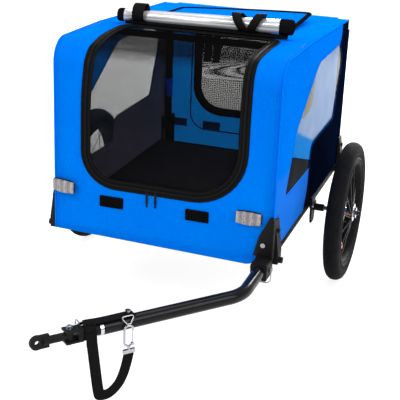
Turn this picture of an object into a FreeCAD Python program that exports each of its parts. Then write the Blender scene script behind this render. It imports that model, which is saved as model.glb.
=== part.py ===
"""Dog bike trailer: folding tube frame, fabric cabin, two spoked wheels and a bent tow bar.

The front faces -Y, +X is the right-hand side seen from the front, +Z is up, the floor is Z = 0.
"""
import FreeCAD
import Part
import math
import os

V = FreeCAD.Vector

# Cabin
BODY_WIDTH = 590.0
BODY_LENGTH = 814.0
ROOF_FRONT = 502.0
ROOF_REAR = 480.0
FRONT_CORNER_R = 58.0
CLOTH = 2.0
SEW_GAP = 0.3
ROOF_SEAM = 285.0
SIDE_HEM = 24.0
DOOR_HALF = BODY_WIDTH / 2 - 73.0
DOOR_BOTTOM = 130.0
DOOR_CORNER_R = 95.0
DOOR_BAND = 27.0
DOOR_REACH = 262.0
REAR_DOOR_HALF = BODY_WIDTH / 2 - 95.0
REAR_DOOR_BOTTOM = 123.0
REAR_DOOR_TOP = 440.0
WINDOW_LAP = 6.0
WINDOW_FILM = 1.0
# side window outline: distance behind the front face, height above the hem, corner radius
WINDOW = [(104, 142, 10), (367, 136, 8), (374, 206, 34), (656, 209, 12),
          (728, 365, 45), (682, 428, 40), (405, 428, 60), (178, 290, 80)]

# Tubes
BASE_TUBE_R = 12.5
UPRIGHT_R = 11.0
TUBE_WALL = 1.6
CROSSBAR_R = 9.5
PIVOT_IN = 15.0
PIVOT_UP = 8.0
UPRIGHT_FOOT = 62.0
UPRIGHT_BEND_R = 55.0
FRONT_CROSSBAR_IN = 250.0
TUBE_FIT = 0.1
RUN_FIT = 0.05
FLOOR_BOARD = 5.0

# Feet of the hoops
FOOT_T_TOP = 4.0
FOOT_T_BOTTOM = 15.0
FOOT_WIDTH = 34.0
FOOT_TOP = 112.0
FOOT_BOLT_UP = 86.0
FOOT_BOLT_R = 4.0
KNOB_R = 8.0
KNOB_T = 9.0
KNOB_SHANK_R = 5.0
PLUG = 26.0

# Wheels
WHEEL_R = 198.0
TYRE_W = 46.0
BEAD_R = WHEEL_R - 43.0
RIM_W = 26.0
RIM_DEPTH = 16.0
WHEEL_X = BODY_WIDTH / 2 + 98.5
AXLE_IN = 443.0
SPOKES = 20
SPOKE_R = 1.0
SPOKE_REFLECTOR_IN = 43.0
HUB_R = 15.0
FLANGE_R = 25.0
FLANGE_T = 3.0
FLANGE_OUT = 24.0
HUB_HALF = 32.0
AXLE_R = 6.0
BEARING_R = 11.0
BEARING_W = 8.0
AXLE_TAIL = 8.0
BUTTON_R = 4.0
BUTTON_TRAVEL = 3.0
BUTTON_OUT = 5.0
BUTTON_LENGTH = 18.0
BRACKET_T = 6.0
BRACKET_W = 44.0
BRACKET_BOLT_OUT = 16.0
BRACKET_TOP = 32.0
BRACKET_DROP = 46.0
SOCKET_R = 10.5
SOCKET_LENGTH = 30.0
BOLT_R = 3.0
BOLT_HEAD_R = 6.0
BOLT_HEAD_T = 4.0

# Tow bar, measured along its straight second run from the bend
TOW_R = 16.0
TOW_WALL = 2.0
TOW_X = BODY_WIDTH / 2 - 15.0
TOW_BEND_AHEAD = 197.0
TOW_BEND_R = 95.0
TOW_TURN = 40.3
TOW_TUBE_END = 360.0
FERRULE_L = 8.0
SLEEVE_R = 14.5
SLEEVE_L = 44.0
YOKE_L = 40.0
YOKE_HALF = 19.0
YOKE_PLATE = 5.0
TONGUE_H = 20.0
PIN_AT = 434.0
PIN_R = 4.0
PIN_HEAD_R = 8.0
PIN_HEAD_T = 4.0
NECK_R = 9.0
EYE_AT = 507.0
EYE_R = 16.0
EYE_T = 8.0
EYE_BORE_R = 5.5
HITCH_SOCKET_HALF = 21.0
HITCH_SOCKET_L = 54.0
HITCH_STAND = 9.0
LOCK_PIN_R = 4.0
WIRE_R = 1.5
GUARD_T = 4.0
GUARD_TOP = 124.0

# Safety strap and snap hook
STRAP_W = 25.0
STRAP_T = 2.5
STRAP_BOLT_AT = 297.0
LOOP_AT = 391.0
HOOK_AT = 304.0
HOOK_WIRE_R = 2.5
# route of the hanging webbing: along the bar, height over the hem
STRAP_ROUTE = [(391, -22), (372, -146), (340, -172), (312, -138), (304, -64)]

# Rain cover
ROLL_R = 24.0
ROLL_HALF = BODY_WIDTH / 2 - 59.0
ROLL_IN = 287.0
ROLL_STEP = 2.5
ROLL_STRAP_AT = (-150.0, 140.0)
ROLL_STRAP_T = 1.5
FLAP_HALF = BODY_WIDTH / 2 - 97.0
FLAP_FRONT = 318.0
FLAP_REAR = 680.0
FLAP_CROWN = 9.0

# Front reflectors: how far their middles are in from the left and right edges and above the hem
REFLECTOR_W = 58.0
REFLECTOR_H = 34.0
REFLECTOR_T = 7.0
REFLECTOR_LEFT_IN = 29.0
REFLECTOR_LEFT_UP = 124.0
REFLECTOR_RIGHT_IN = 67.0
REFLECTOR_RIGHT_UP = 113.0

HEM = WHEEL_R
u = math.radians(TOW_TURN)
ALONG = V(-math.sin(u), -math.cos(u), 0)
ACROSS = V(math.cos(u), -math.sin(u), 0)
TOW_REACH = TOW_BEND_AHEAD + (EYE_AT + EYE_R) * math.cos(u)
FRONT_Y = (TOW_REACH - BODY_LENGTH) / 2
REAR_Y = FRONT_Y + BODY_LENGTH
HALF = BODY_WIDTH / 2
SIDE_X = HALF - CLOTH - WINDOW_FILM - SEW_GAP - UPRIGHT_R
PIVOT_Z = HEM + PIVOT_UP
FRONT_PIVOT_Y = FRONT_Y + PIVOT_IN
REAR_PIVOT_Y = REAR_Y - PIVOT_IN
AXLE_Y = FRONT_Y + AXLE_IN
BASE_X = HALF - BASE_TUBE_R - SEW_GAP
TOP_TUBE_Z = HEM + ROOF_FRONT - CLOTH - SEW_GAP - UPRIGHT_R
BEND = V(TOW_X, FRONT_Y - TOW_BEND_AHEAD, HEM)
X = V(1, 0, 0)
Y = V(0, 1, 0)
Z = V(0, 0, 1)
os.makedirs("parts", exist_ok=True)


def save(name, *solids):
    shape = solids[0] if len(solids) == 1 else Part.makeCompound(list(solids))
    shape.exportStep("parts/" + name + ".step")


def rod(p, q, r):
    d = q.sub(p)
    return Part.makeCylinder(r, d.Length, p, d)


def pipe(p, q, r, wall):
    return rod(p, q, r).cut(rod(p, q, r - wall))


def box(x0, x1, y0, y1, z0, z1):
    return Part.makeBox(x1 - x0, y1 - y0, z1 - z0, V(x0, y0, z0))


def mirror(shape):
    return shape.mirror(V(0, 0, 0), X)


def filleted(points, radii, closed=True):
    """Wire of straight runs joined by tangent arcs through the corner points."""
    n = len(points)
    edges = []
    start = None
    first = None
    for i in range(n):
        p = points[i]
        if not closed and i in (0, n - 1):
            a = b = p
            mid = None
        else:
            d0 = points[i - 1].sub(p).normalize()
            d1 = points[(i + 1) % n].sub(p).normalize()
            half = d0.getAngle(d1) / 2
            cut = radii[i] / math.tan(half)
            a = p + d0 * cut
            b = p + d1 * cut
            centre = p + (d0 + d1).normalize() * (radii[i] / math.sin(half))
            mid = centre + p.sub(centre).normalize() * radii[i]
        if start is not None and start.distanceToPoint(a) > 1e-6:
            edges.append(Part.LineSegment(start, a).toShape())
        if first is None:
            first = a
        if mid is not None:
            edges.append(Part.Arc(a, mid, b).toShape())
        start = b
    if closed:
        edges.append(Part.LineSegment(start, first).toShape())
    return Part.Wire(edges)


def plate(wire, direction):
    return Part.Face(wire).extrude(direction)


def swept(wire, r):
    edge = wire.OrderedEdges[0]
    start = edge.valueAt(edge.FirstParameter)
    ring = Part.Wire(Part.Circle(start, edge.tangentAt(edge.FirstParameter), r).toShape())
    return wire.makePipeShell([ring], True, False)


def bent_tube(wire, r, wall):
    return swept(wire, r).cut(swept(wire, r - wall))


def at(t, n=0.0, h=0.0):
    """A point on the tow bar's second run: along it, across it and above its axis."""
    return BEND + ALONG * t + ACROSS * n + Z * h


def ring_x(profile, x):
    """Revolve a closed (radius, offset) outline about the axle line."""
    pts = [V(x + o, AXLE_Y, HEM + r) for r, o in profile]
    return Part.Face(Part.makePolygon(pts + pts[:1])).revolve(V(x, AXLE_Y, HEM), X, 360)


# Base frame
front_a = V(-HALF + CLOTH + 1, FRONT_PIVOT_Y, PIVOT_Z)
front_b = V(HALF - CLOTH - 1, FRONT_PIVOT_Y, PIVOT_Z)
cross = {}
for name, y in (("base_front_tube", FRONT_PIVOT_Y), ("base_rear_tube", REAR_PIVOT_Y)):
    a = V(front_a.x, y, PIVOT_Z)
    b = V(front_b.x, y, PIVOT_Z)
    tube = rod(a, b, BASE_TUBE_R).cut(rod(a + X * PLUG, b - X * PLUG, BASE_TUBE_R - TUBE_WALL))
    for end, s in ((a, 1), (b, -1)):
        tube = tube.cut(rod(end, end + X * (s * PLUG), KNOB_SHANK_R + RUN_FIT))
    cross[name] = tube
solid_ends = [rod(V(-HALF, y, PIVOT_Z), V(HALF, y, PIVOT_Z), BASE_TUBE_R)
              for y in (FRONT_PIVOT_Y, REAR_PIVOT_Y)]
side_tube = pipe(V(BASE_X, FRONT_PIVOT_Y, PIVOT_Z), V(BASE_X, REAR_PIVOT_Y, PIVOT_Z), BASE_TUBE_R, TUBE_WALL)
side_tube = side_tube.cut(solid_ends[0]).cut(solid_ends[1])
bolt_in = BASE_X - BASE_TUBE_R
for s in (-1, 1):
    hole_y = AXLE_Y + s * BRACKET_BOLT_OUT
    side_tube = side_tube.cut(rod(V(bolt_in, hole_y, PIVOT_Z), V(HALF, hole_y, PIVOT_Z), BOLT_R + TUBE_FIT))
save("base_side_tubes", side_tube, mirror(side_tube))
brace = pipe(V(-BASE_X, AXLE_Y, PIVOT_Z), V(BASE_X, AXLE_Y, PIVOT_Z), BASE_TUBE_R, TUBE_WALL)
for s in (-1, 1):
    brace = brace.cut(rod(V(s * BASE_X, FRONT_Y, PIVOT_Z), V(s * BASE_X, REAR_Y, PIVOT_Z), BASE_TUBE_R))
brace = max(brace.Solids, key=lambda q: q.Volume)
save("base_cross_tubes", *(list(cross.values()) + [brace]))
floor_z = PIVOT_Z + BASE_TUBE_R + SEW_GAP
floor_half = SIDE_X - UPRIGHT_R - 2
save("floor_panel", box(-floor_half, floor_half, FRONT_Y + 2 * PIVOT_IN + UPRIGHT_R,
                        REAR_Y - 2 * PIVOT_IN - UPRIGHT_R, floor_z, floor_z + FLOOR_BOARD))

# Axle brackets, axles and their bolts
bx = HALF + 1.5
outline = [V(bx, AXLE_Y - BRACKET_W / 2, HEM + BRACKET_TOP), V(bx, AXLE_Y + BRACKET_W / 2, HEM + BRACKET_TOP),
           V(bx, AXLE_Y + BRACKET_W / 2, HEM - BRACKET_DROP / 2),
           V(bx, AXLE_Y + BRACKET_W / 3, HEM - BRACKET_DROP),
           V(bx, AXLE_Y - BRACKET_W / 3, HEM - BRACKET_DROP),
           V(bx, AXLE_Y - BRACKET_W / 2, HEM - BRACKET_DROP / 2)]
bracket = plate(Part.makePolygon(outline + outline[:1]), X * BRACKET_T)
spacer = box(BASE_X + BASE_TUBE_R, bx, AXLE_Y - BRACKET_W / 2, AXLE_Y + BRACKET_W / 2,
             PIVOT_Z - PIVOT_UP, PIVOT_Z + PIVOT_UP)
socket = rod(V(bx + BRACKET_T, AXLE_Y, HEM), V(bx + BRACKET_T + SOCKET_LENGTH, AXLE_Y, HEM), SOCKET_R)
bracket = bracket.fuse(spacer).fuse(socket)
axle_end = WHEEL_X + HUB_HALF + AXLE_TAIL
bracket = bracket.cut(rod(V(bx + 1, AXLE_Y, HEM), V(axle_end, AXLE_Y, HEM), AXLE_R + TUBE_FIT))
bolts = []
for s in (-1, 1):
    p = V(bolt_in + 4, AXLE_Y + s * BRACKET_BOLT_OUT, PIVOT_Z)
    q = V(bx + BRACKET_T, p.y, PIVOT_Z)
    bracket = bracket.cut(rod(p, q, BOLT_R + TUBE_FIT))
    bolts.append(rod(p, q, BOLT_R).fuse(rod(q, q + X * BOLT_HEAD_T, BOLT_HEAD_R)).removeSplitter())
bracket = bracket.removeSplitter()
save("axle_brackets", bracket, mirror(bracket))
axle = rod(V(bx + 1 + TUBE_FIT, AXLE_Y, HEM), V(axle_end, AXLE_Y, HEM), AXLE_R)
button_hole = axle_end - BUTTON_LENGTH - BUTTON_TRAVEL
axle = axle.cut(rod(V(button_hole, AXLE_Y, HEM), V(axle_end, AXLE_Y, HEM), BUTTON_R + RUN_FIT))
collar_x = WHEEL_X - HUB_HALF
axle = axle.fuse(rod(V(collar_x - 6, AXLE_Y, HEM), V(collar_x - 1, AXLE_Y, HEM), AXLE_R + 3)).removeSplitter()
save("axles", axle, mirror(axle))
button = rod(V(button_hole + BUTTON_TRAVEL, AXLE_Y, HEM), V(axle_end + BUTTON_OUT, AXLE_Y, HEM), BUTTON_R)
save("release_button_right", button)
save("release_button_left", mirror(button))

# Wheels
h = TYRE_W / 2
tyre = ring_x([(BEAD_R, -RIM_W / 2), (BEAD_R + 10, -h + 5), (BEAD_R + 22, -h), (WHEEL_R - 14, -h + 2),
               (WHEEL_R - 5, -h + 9), (WHEEL_R, -6), (WHEEL_R, 6), (WHEEL_R - 5, h - 9),
               (WHEEL_R - 14, h - 2), (BEAD_R + 22, h), (BEAD_R + 10, h - 5), (BEAD_R, RIM_W / 2)], WHEEL_X)
rim_in = BEAD_R - RIM_DEPTH
rim = ring_x([(BEAD_R - TUBE_FIT, -RIM_W / 2), (BEAD_R - TUBE_FIT, RIM_W / 2), (BEAD_R - 6, RIM_W / 2),
              (rim_in, 5), (rim_in, -5), (BEAD_R - 6, -RIM_W / 2)], WHEEL_X)
f = FLANGE_T / 2
hub = ring_x([(AXLE_R + 1, -HUB_HALF), (HUB_R, -HUB_HALF), (HUB_R, -FLANGE_OUT - f),
              (FLANGE_R, -FLANGE_OUT - f),
              (FLANGE_R, -FLANGE_OUT + f), (HUB_R - 3, -FLANGE_OUT + f), (HUB_R - 3, FLANGE_OUT - f),
              (FLANGE_R, FLANGE_OUT - f), (FLANGE_R, FLANGE_OUT + f), (HUB_R, FLANGE_OUT + f),
              (HUB_R, HUB_HALF),
              (AXLE_R + 1, HUB_HALF)], WHEEL_X)
bearings = []
for s in (-1, 1):
    a = V(WHEEL_X + s * HUB_HALF, AXLE_Y, HEM)
    b = a - X * (s * BEARING_W)
    hub = hub.cut(rod(a, b, BEARING_R))
    bearings.append(rod(a, b, BEARING_R).cut(rod(a, b, AXLE_R + RUN_FIT)))
spokes = []
for i in range(SPOKES):
    s = 1 if i % 2 else -1
    a0 = 2 * math.pi * i / SPOKES
    a1 = a0 + s * math.radians(38)
    r0 = FLANGE_R - SPOKE_R
    r1 = rim_in
    p = V(WHEEL_X + s * (FLANGE_OUT - f - SPOKE_R), AXLE_Y + r0 * math.cos(a1), HEM + r0 * math.sin(a1))
    q = V(WHEEL_X + s * 2, AXLE_Y + (r1 + 3) * math.cos(a0), HEM + (r1 + 3) * math.sin(a0))
    spokes.append(rod(p, q, SPOKE_R).cut(rim))
reach = rim_in - SPOKE_REFLECTOR_IN
lean = (FLANGE_OUT - f - SPOKE_R) * (r1 - reach - 8) / (r1 - FLANGE_R) - SPOKE_R
reflector_half = lean + SPOKE_R
reflector = box(WHEEL_X - reflector_half, WHEEL_X + reflector_half, AXLE_Y - 36, AXLE_Y + 36,
                HEM - reach - 8, HEM - reach + 8)
reflector = reflector.makeFillet(2.0, reflector.Edges)
reflector.rotate(V(WHEEL_X, AXLE_Y, HEM), X, -32)
for name, part in (("tyre", [tyre]), ("rim", [rim]), ("hub", [hub]), ("hub_bearings", bearings),
                   ("spokes", spokes), ("wheel_reflector", [reflector])):
    save(name + "_right", *part)
    save(name + "_left", *[mirror(q) for q in part])

# Front and rear hoops, which fold about the base frame's cross tubes
up_z = HEM + UPRIGHT_FOOT
path = [V(SIDE_X, FRONT_PIVOT_Y, up_z), V(SIDE_X, FRONT_PIVOT_Y, TOP_TUBE_Z),
        V(SIDE_X, FRONT_Y + FRONT_CROSSBAR_IN, TOP_TUBE_Z)]
front_upright = bent_tube(filleted(path, [0, UPRIGHT_BEND_R, 0], False), UPRIGHT_R, TUBE_WALL)
rear_top = HEM + ROOF_REAR - CLOTH - SEW_GAP - UPRIGHT_R - 3
rear_upright = pipe(V(SIDE_X, REAR_PIVOT_Y, up_z), V(SIDE_X, REAR_PIVOT_Y, rear_top), UPRIGHT_R, TUBE_WALL)
corner_half = UPRIGHT_R + 3
for name, tube, y, z in (("front", front_upright, FRONT_Y + FRONT_CROSSBAR_IN, TOP_TUBE_Z),
                         ("rear", rear_upright, REAR_PIVOT_Y, rear_top)):
    lift = 0.0 if name == "front" else 3.0
    inner = SIDE_X - UPRIGHT_R - 16
    corner = box(inner, SIDE_X + UPRIGHT_R, y - corner_half, y + corner_half - 1,
                 z - UPRIGHT_R - 8, z + UPRIGHT_R + lift)
    corner = corner.makeFillet(3.0, corner.Edges)
    bar_z = z - 2
    end = V(inner + 12, y, bar_z)
    if name == "front":
        cavity = rod(V(SIDE_X, y - 40, z), V(SIDE_X, y, z), UPRIGHT_R + TUBE_FIT)
    else:
        cavity = rod(V(SIDE_X, y, z - 40), V(SIDE_X, y, z), UPRIGHT_R + TUBE_FIT)
    corner = corner.cut(cavity).cut(rod(V(0, y, bar_z), end + X * TUBE_FIT, CROSSBAR_R + TUBE_FIT))
    corner = max(corner.Solids, key=lambda q: q.Volume)
    save(name + "_top_corners", corner, mirror(corner))
    save(name + "_crossbar", pipe(V(-end.x, y, bar_z), end, CROSSBAR_R, TUBE_WALL))
    bolt_z = HEM + FOOT_BOLT_UP
    py = FRONT_PIVOT_Y if name == "front" else REAR_PIVOT_Y
    fx = HALF + 1
    bolt_hole = rod(V(SIDE_X + UPRIGHT_R - 8, py, bolt_z), V(HALF + 40, py, bolt_z), FOOT_BOLT_R + RUN_FIT)
    tube = tube.cut(bolt_hole)
    save(name + "_uprights", tube, mirror(tube))
    y0 = py - PIVOT_IN if name == "front" else py + PIVOT_IN - FOOT_WIDTH
    wedge = [V(fx, y0, HEM), V(fx + FOOT_T_BOTTOM, y0, HEM), V(fx + FOOT_T_BOTTOM, y0, HEM + 30),
             V(fx + FOOT_T_TOP, y0, HEM + FOOT_TOP), V(fx, y0, HEM + FOOT_TOP)]
    foot = plate(Part.makePolygon(wedge + wedge[:1]), Y * FOOT_WIDTH)
    knob_a = V(HALF - CLOTH - 1 - PLUG + 2, py, PIVOT_Z)
    knob_b = V(fx + FOOT_T_BOTTOM, py, PIVOT_Z)
    foot = foot.cut(rod(knob_a, knob_b, KNOB_SHANK_R + RUN_FIT)).cut(bolt_hole)
    save(name + "_feet", foot, mirror(foot))
    knob = rod(knob_a, knob_b, KNOB_SHANK_R).fuse(rod(knob_b, knob_b + X * KNOB_T, KNOB_R)).removeSplitter()
    head_x = fx + FOOT_T_TOP + (FOOT_T_BOTTOM - FOOT_T_TOP) * (FOOT_TOP - FOOT_BOLT_UP) / (FOOT_TOP - 30)
    head = V(head_x + 1, py, bolt_z)
    pin = rod(V(SIDE_X + UPRIGHT_R - 6, py, bolt_z), head, FOOT_BOLT_R)
    pin = pin.fuse(rod(head, head + X * BOLT_HEAD_T, BOLT_HEAD_R)).removeSplitter()
    save(name + "_foot_bolts", knob, mirror(knob), pin, mirror(pin))


# Front panel: the sheet rises from the hem and turns over the round corner onto the roof
def front_sheet(reach, x0, x1):
    pts = [V(x0, FRONT_Y, HEM), V(x0, FRONT_Y, HEM + ROOF_FRONT), V(x0, FRONT_Y + reach, HEM + ROOF_FRONT)]
    outer = filleted(pts, [0, FRONT_CORNER_R, 0], False)
    c = CLOTH
    pts = [V(x0, FRONT_Y + c, HEM), V(x0, FRONT_Y + c, HEM + ROOF_FRONT - c),
           V(x0, FRONT_Y + reach, HEM + ROOF_FRONT - c)]
    inner = filleted(pts, [0, FRONT_CORNER_R - c, 0], False)
    ends = [Part.LineSegment(outer.OrderedVertexes[k].Point, inner.OrderedVertexes[k].Point).toShape()
            for k in (0, -1)]
    rim_wire = Part.Wire(Part.__sortEdges__(outer.Edges + inner.Edges + ends))
    return plate(rim_wire, X * (x1 - x0))


def door_prism(half, bottom, radius, top, y, depth):
    pts = [V(-half, y, HEM + bottom), V(half, y, HEM + bottom), V(half, y, HEM + top), V(-half, y, HEM + top)]
    return plate(filleted(pts, [radius, radius, 1, 1]), Y * depth)


over = ROOF_FRONT + 40
front = front_sheet(ROOF_SEAM, -HALF, HALF)
cut0 = door_prism(DOOR_HALF, DOOR_BOTTOM, DOOR_CORNER_R, over, FRONT_Y - 5, DOOR_REACH + 5)
cut1 = door_prism(DOOR_HALF - SEW_GAP, DOOR_BOTTOM + SEW_GAP, DOOR_CORNER_R - SEW_GAP, over,
                  FRONT_Y - 5, DOOR_REACH + 5 - SEW_GAP)
b = DOOR_BAND
cut2 = door_prism(DOOR_HALF - b, DOOR_BOTTOM + b, DOOR_CORNER_R - b, over, FRONT_Y - 5, DOOR_REACH + 5 - b)
b = DOOR_BAND + SEW_GAP
cut3 = door_prism(DOOR_HALF - b, DOOR_BOTTOM + b, DOOR_CORNER_R - b, over, FRONT_Y - 5, DOOR_REACH + 5 - b)
save("front_panel", front.cut(cut0))
save("front_door_zip", front.common(cut1).cut(cut2))
save("front_door_mesh", front.common(cut3))
rear = box(-HALF, HALF, REAR_Y - CLOTH, REAR_Y, HEM, HEM + ROOF_REAR - CLOTH - SEW_GAP)
cuts = []
for b in (0, SEW_GAP, DOOR_BAND, DOOR_BAND + SEW_GAP):
    r = DOOR_CORNER_R - b
    pts = [V(-REAR_DOOR_HALF + b, REAR_Y - 9, HEM + REAR_DOOR_BOTTOM + b),
           V(REAR_DOOR_HALF - b, REAR_Y - 9, HEM + REAR_DOOR_BOTTOM + b),
           V(REAR_DOOR_HALF - b, REAR_Y - 9, HEM + REAR_DOOR_TOP - b),
           V(-REAR_DOOR_HALF + b, REAR_Y - 9, HEM + REAR_DOOR_TOP - b)]
    cuts.append(plate(filleted(pts, [r, r, r / 2, r / 2]), Y * 20))
save("rear_panel", rear.cut(cuts[0]))
save("rear_door_zip", rear.common(cuts[1]).cut(cuts[2]))
save("rear_door_mesh", rear.common(cuts[3]))


# Side walls and windows
def wall_point(d, h):
    return V(HALF - CLOTH, FRONT_Y + d, HEM + h)


g = CLOTH + SEW_GAP
notch = 2 * PIVOT_IN + FOOT_WIDTH - PIVOT_IN - 8
clear_up = FOOT_BOLT_UP + 20
roof_gap = CLOTH + SEW_GAP
wall = [wall_point(notch, SIDE_HEM), wall_point(BODY_LENGTH - notch, SIDE_HEM),
        wall_point(BODY_LENGTH - notch, clear_up), wall_point(BODY_LENGTH - g, clear_up),
        wall_point(BODY_LENGTH - g, ROOF_REAR - roof_gap), wall_point(g, ROOF_FRONT - roof_gap),
        wall_point(g, clear_up), wall_point(notch, clear_up)]
wall = plate(filleted(wall, [1, 1, 1, 1, 1, FRONT_CORNER_R - g, 1, 1]), X * CLOTH)
hole = filleted([wall_point(d, h) for d, h, r in WINDOW], [r for d, h, r in WINDOW])
wall = wall.cut(plate(hole, X * CLOTH))
save("side_panel_right", wall)
save("side_panel_left", mirror(wall))
film = plate(hole.makeOffset2D(WINDOW_LAP), X * -WINDOW_FILM)
film.translate(X * -(SEW_GAP / 2))
save("side_windows", film, mirror(film))

# Roof, the rain cover's flap and its roll
slope = math.atan2(ROOF_FRONT - ROOF_REAR, BODY_LENGTH - ROOF_SEAM)


def roof_z(d):
    return HEM + ROOF_FRONT - math.tan(slope) * max(0.0, d - ROOF_SEAM)


d0 = ROOF_SEAM + SEW_GAP
side = [V(-HALF + 1, FRONT_Y + d, roof_z(d) - t) for d, t in
        ((d0, CLOTH), (BODY_LENGTH, CLOTH), (BODY_LENGTH, 0), (d0, 0))]
roof = plate(Part.makePolygon(side + side[:1]), X * (BODY_WIDTH - 2))
save("roof_panel", roof)
z0 = roof_z(FLAP_FRONT) + SEW_GAP
y0 = FRONT_Y + FLAP_FRONT
arc = [Part.Arc(V(-FLAP_HALF, y0, z0 + k), V(0, y0, z0 + k + FLAP_CROWN), V(FLAP_HALF, y0, z0 + k)).toShape()
       for k in (0, CLOTH)]
sides = [Part.LineSegment(V(s * FLAP_HALF, y0, z0), V(s * FLAP_HALF, y0, z0 + CLOTH)).toShape()
         for s in (-1, 1)]
flap_wire = Part.Wire(Part.__sortEdges__(arc + sides))
run = FLAP_REAR - FLAP_FRONT
flap = plate(flap_wire, V(0, run, roof_z(FLAP_REAR) - roof_z(FLAP_FRONT)))
save("roof_flap", flap)
strap_r = ROLL_R + SEW_GAP + ROLL_STRAP_T
roll_c = V(0, FRONT_Y + ROLL_IN, HEM + ROOF_FRONT + SEW_GAP + strap_r)


def roll_at(x, angle, r):
    return roll_c + V(x, r * math.cos(angle), r * math.sin(angle))


r2 = ROLL_R - ROLL_STEP
a0 = math.radians(200)
turn = [Part.Arc(roll_at(-ROLL_HALF, a0, ROLL_R), roll_at(-ROLL_HALF, a0 + 1.2, ROLL_R),
                 roll_at(-ROLL_HALF, a0 + 2.4, ROLL_R)).toShape(),
        Part.Arc(roll_at(-ROLL_HALF, a0 + 2.4, ROLL_R), roll_at(-ROLL_HALF, a0 + 4.3, ROLL_R - ROLL_STEP / 2),
                 roll_at(-ROLL_HALF, a0 + 2 * math.pi, r2)).toShape(),
        Part.LineSegment(roll_at(-ROLL_HALF, a0, r2), roll_at(-ROLL_HALF, a0, ROLL_R)).toShape()]
save("rain_cover_roll", plate(Part.Wire(turn), X * (2 * ROLL_HALF)))
straps = []
for x in ROLL_STRAP_AT:
    a = roll_c + X * (x - STRAP_W / 2)
    straps.append(pipe(a, a + X * STRAP_W, strap_r, ROLL_STRAP_T))
save("roll_straps", *straps)

# Corner reflectors and zip pulls on the front panel
lens = []
for x, z in ((-HALF + REFLECTOR_LEFT_IN, REFLECTOR_LEFT_UP), (HALF - REFLECTOR_RIGHT_IN, REFLECTOR_RIGHT_UP)):
    lens.append(box(x - REFLECTOR_W / 2, x + REFLECTOR_W / 2, FRONT_Y - SEW_GAP - REFLECTOR_T,
                    FRONT_Y - SEW_GAP, HEM + z - REFLECTOR_H / 2, HEM + z + REFLECTOR_H / 2))
save("front_reflectors", *[q.makeFillet(3.0, q.Edges) for q in lens])
PULLS = (("left", -38.0), ("right", -15.0))
pull_y = FRONT_Y - SEW_GAP - 3
pull_z = HEM + DOOR_BOTTOM + DOOR_BAND / 2
sliders = []
for name, x in PULLS:
    slider = box(x - 4, x + 4, FRONT_Y - SEW_GAP - 1.4, FRONT_Y - SEW_GAP, pull_z - 6, pull_z + 6)
    ear = box(x - 1.2, x + 1.2, pull_y - 1.6, FRONT_Y - SEW_GAP - 1.4, pull_z - 2, pull_z + 2)
    ear = ear.cut(rod(V(x - 2, pull_y, pull_z), V(x + 2, pull_y, pull_z), 0.8))
    sliders.append(slider.fuse(ear).removeSplitter())
    pin = rod(V(x - 3, pull_y, pull_z), V(x + 3, pull_y, pull_z), 0.7)
    tab = pin
    for s in (-1, 1):
        leg = box(x + s * 2.4 - 0.6, x + s * 2.4 + 0.6, pull_y - 0.7, pull_y + 0.7, pull_z - 6, pull_z + 0.7)
        tab = tab.fuse(leg)
    tab = tab.fuse(box(x - 3, x + 3, pull_y - 0.7, pull_y + 0.7, pull_z - 34, pull_z - 5.9))
    save("zip_pull_" + name, tab.removeSplitter())
save("zip_sliders", *sliders)

# Tow bar, its socket and lock pin
sock_y1 = FRONT_Y - HITCH_STAND
sock_y0 = sock_y1 - HITCH_SOCKET_L
k = HITCH_SOCKET_HALF
block = box(TOW_X - k, TOW_X + k, sock_y0, sock_y1, HEM - k, HEM + k)
block = block.makeFillet(4.0, [e for e in block.Edges if e.tangentAt(e.FirstParameter).isEqual(Y, 0.01)
                               or e.tangentAt(e.FirstParameter).isEqual(Y * -1, 0.01)])
arm = box(TOW_X - 16, BASE_X + 2, sock_y1 - 4, FRONT_PIVOT_Y + 26, HEM - k, PIVOT_Z - BASE_TUBE_R + 6)
for t in solid_ends[:1] + [rod(V(BASE_X, FRONT_Y, PIVOT_Z), V(BASE_X, REAR_Y, PIVOT_Z), BASE_TUBE_R)]:
    arm = arm.cut(t)
arm = arm.cut(box(0, HALF, FRONT_Y - 4, FRONT_PIVOT_Y - 2, HEM - 3, HEM + 60))
arm = max(arm.Solids, key=lambda q: q.Volume)
guard = [V(TOW_X - 31, sock_y1, HEM + k - 2), V(TOW_X + 22, sock_y1, HEM + k - 2),
         V(TOW_X + 22, sock_y1, HEM + GUARD_TOP), V(TOW_X + 7, sock_y1, HEM + GUARD_TOP),
         V(TOW_X - 18, sock_y1, HEM + GUARD_TOP - 52)]
guard = plate(Part.makePolygon(guard + guard[:1]), Y * GUARD_T)
flange = box(TOW_X + 18, TOW_X + 22, sock_y1 - 12, sock_y1 + GUARD_T, HEM + k - 2, HEM + GUARD_TOP)
foot_plate = box(TOW_X - k, TOW_X + k, sock_y1 - 8, sock_y1 + GUARD_T, HEM + k - 6, HEM + k)
socket = block.fuse(arm).fuse(guard).fuse(flange).fuse(foot_plate)
pin_y = (sock_y0 + sock_y1) / 2
lock_hole = rod(V(TOW_X - k - 8, pin_y, HEM), V(TOW_X + k + 8, pin_y, HEM), LOCK_PIN_R + RUN_FIT)
tail = V(TOW_X, sock_y1 - 4, HEM)
socket = socket.cut(rod(tail, tail - Y * 80, TOW_R + TUBE_FIT)).cut(lock_hole)
screw = V(TOW_X - 6, sock_y1, HEM + 50)
screw_hole = rod(screw - Y * 1, screw + Y * (GUARD_T + 1), BOLT_R + TUBE_FIT)
save("hitch_socket", socket.cut(screw_hole).removeSplitter())
screw = rod(screw, screw + Y * GUARD_T, BOLT_R).fuse(rod(screw, screw - Y * BOLT_HEAD_T, BOLT_HEAD_R))
bar_path = filleted([tail, BEND, at(TOW_TUBE_END)], [0, TOW_BEND_R, 0], False)
bar = bent_tube(bar_path, TOW_R, TOW_WALL).cut(lock_hole)
strap_top = at(STRAP_BOLT_AT, 0, TOW_R)
bar = bar.cut(rod(strap_top - Z * 12, strap_top + Z * 1, BOLT_R + TUBE_FIT))
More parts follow.
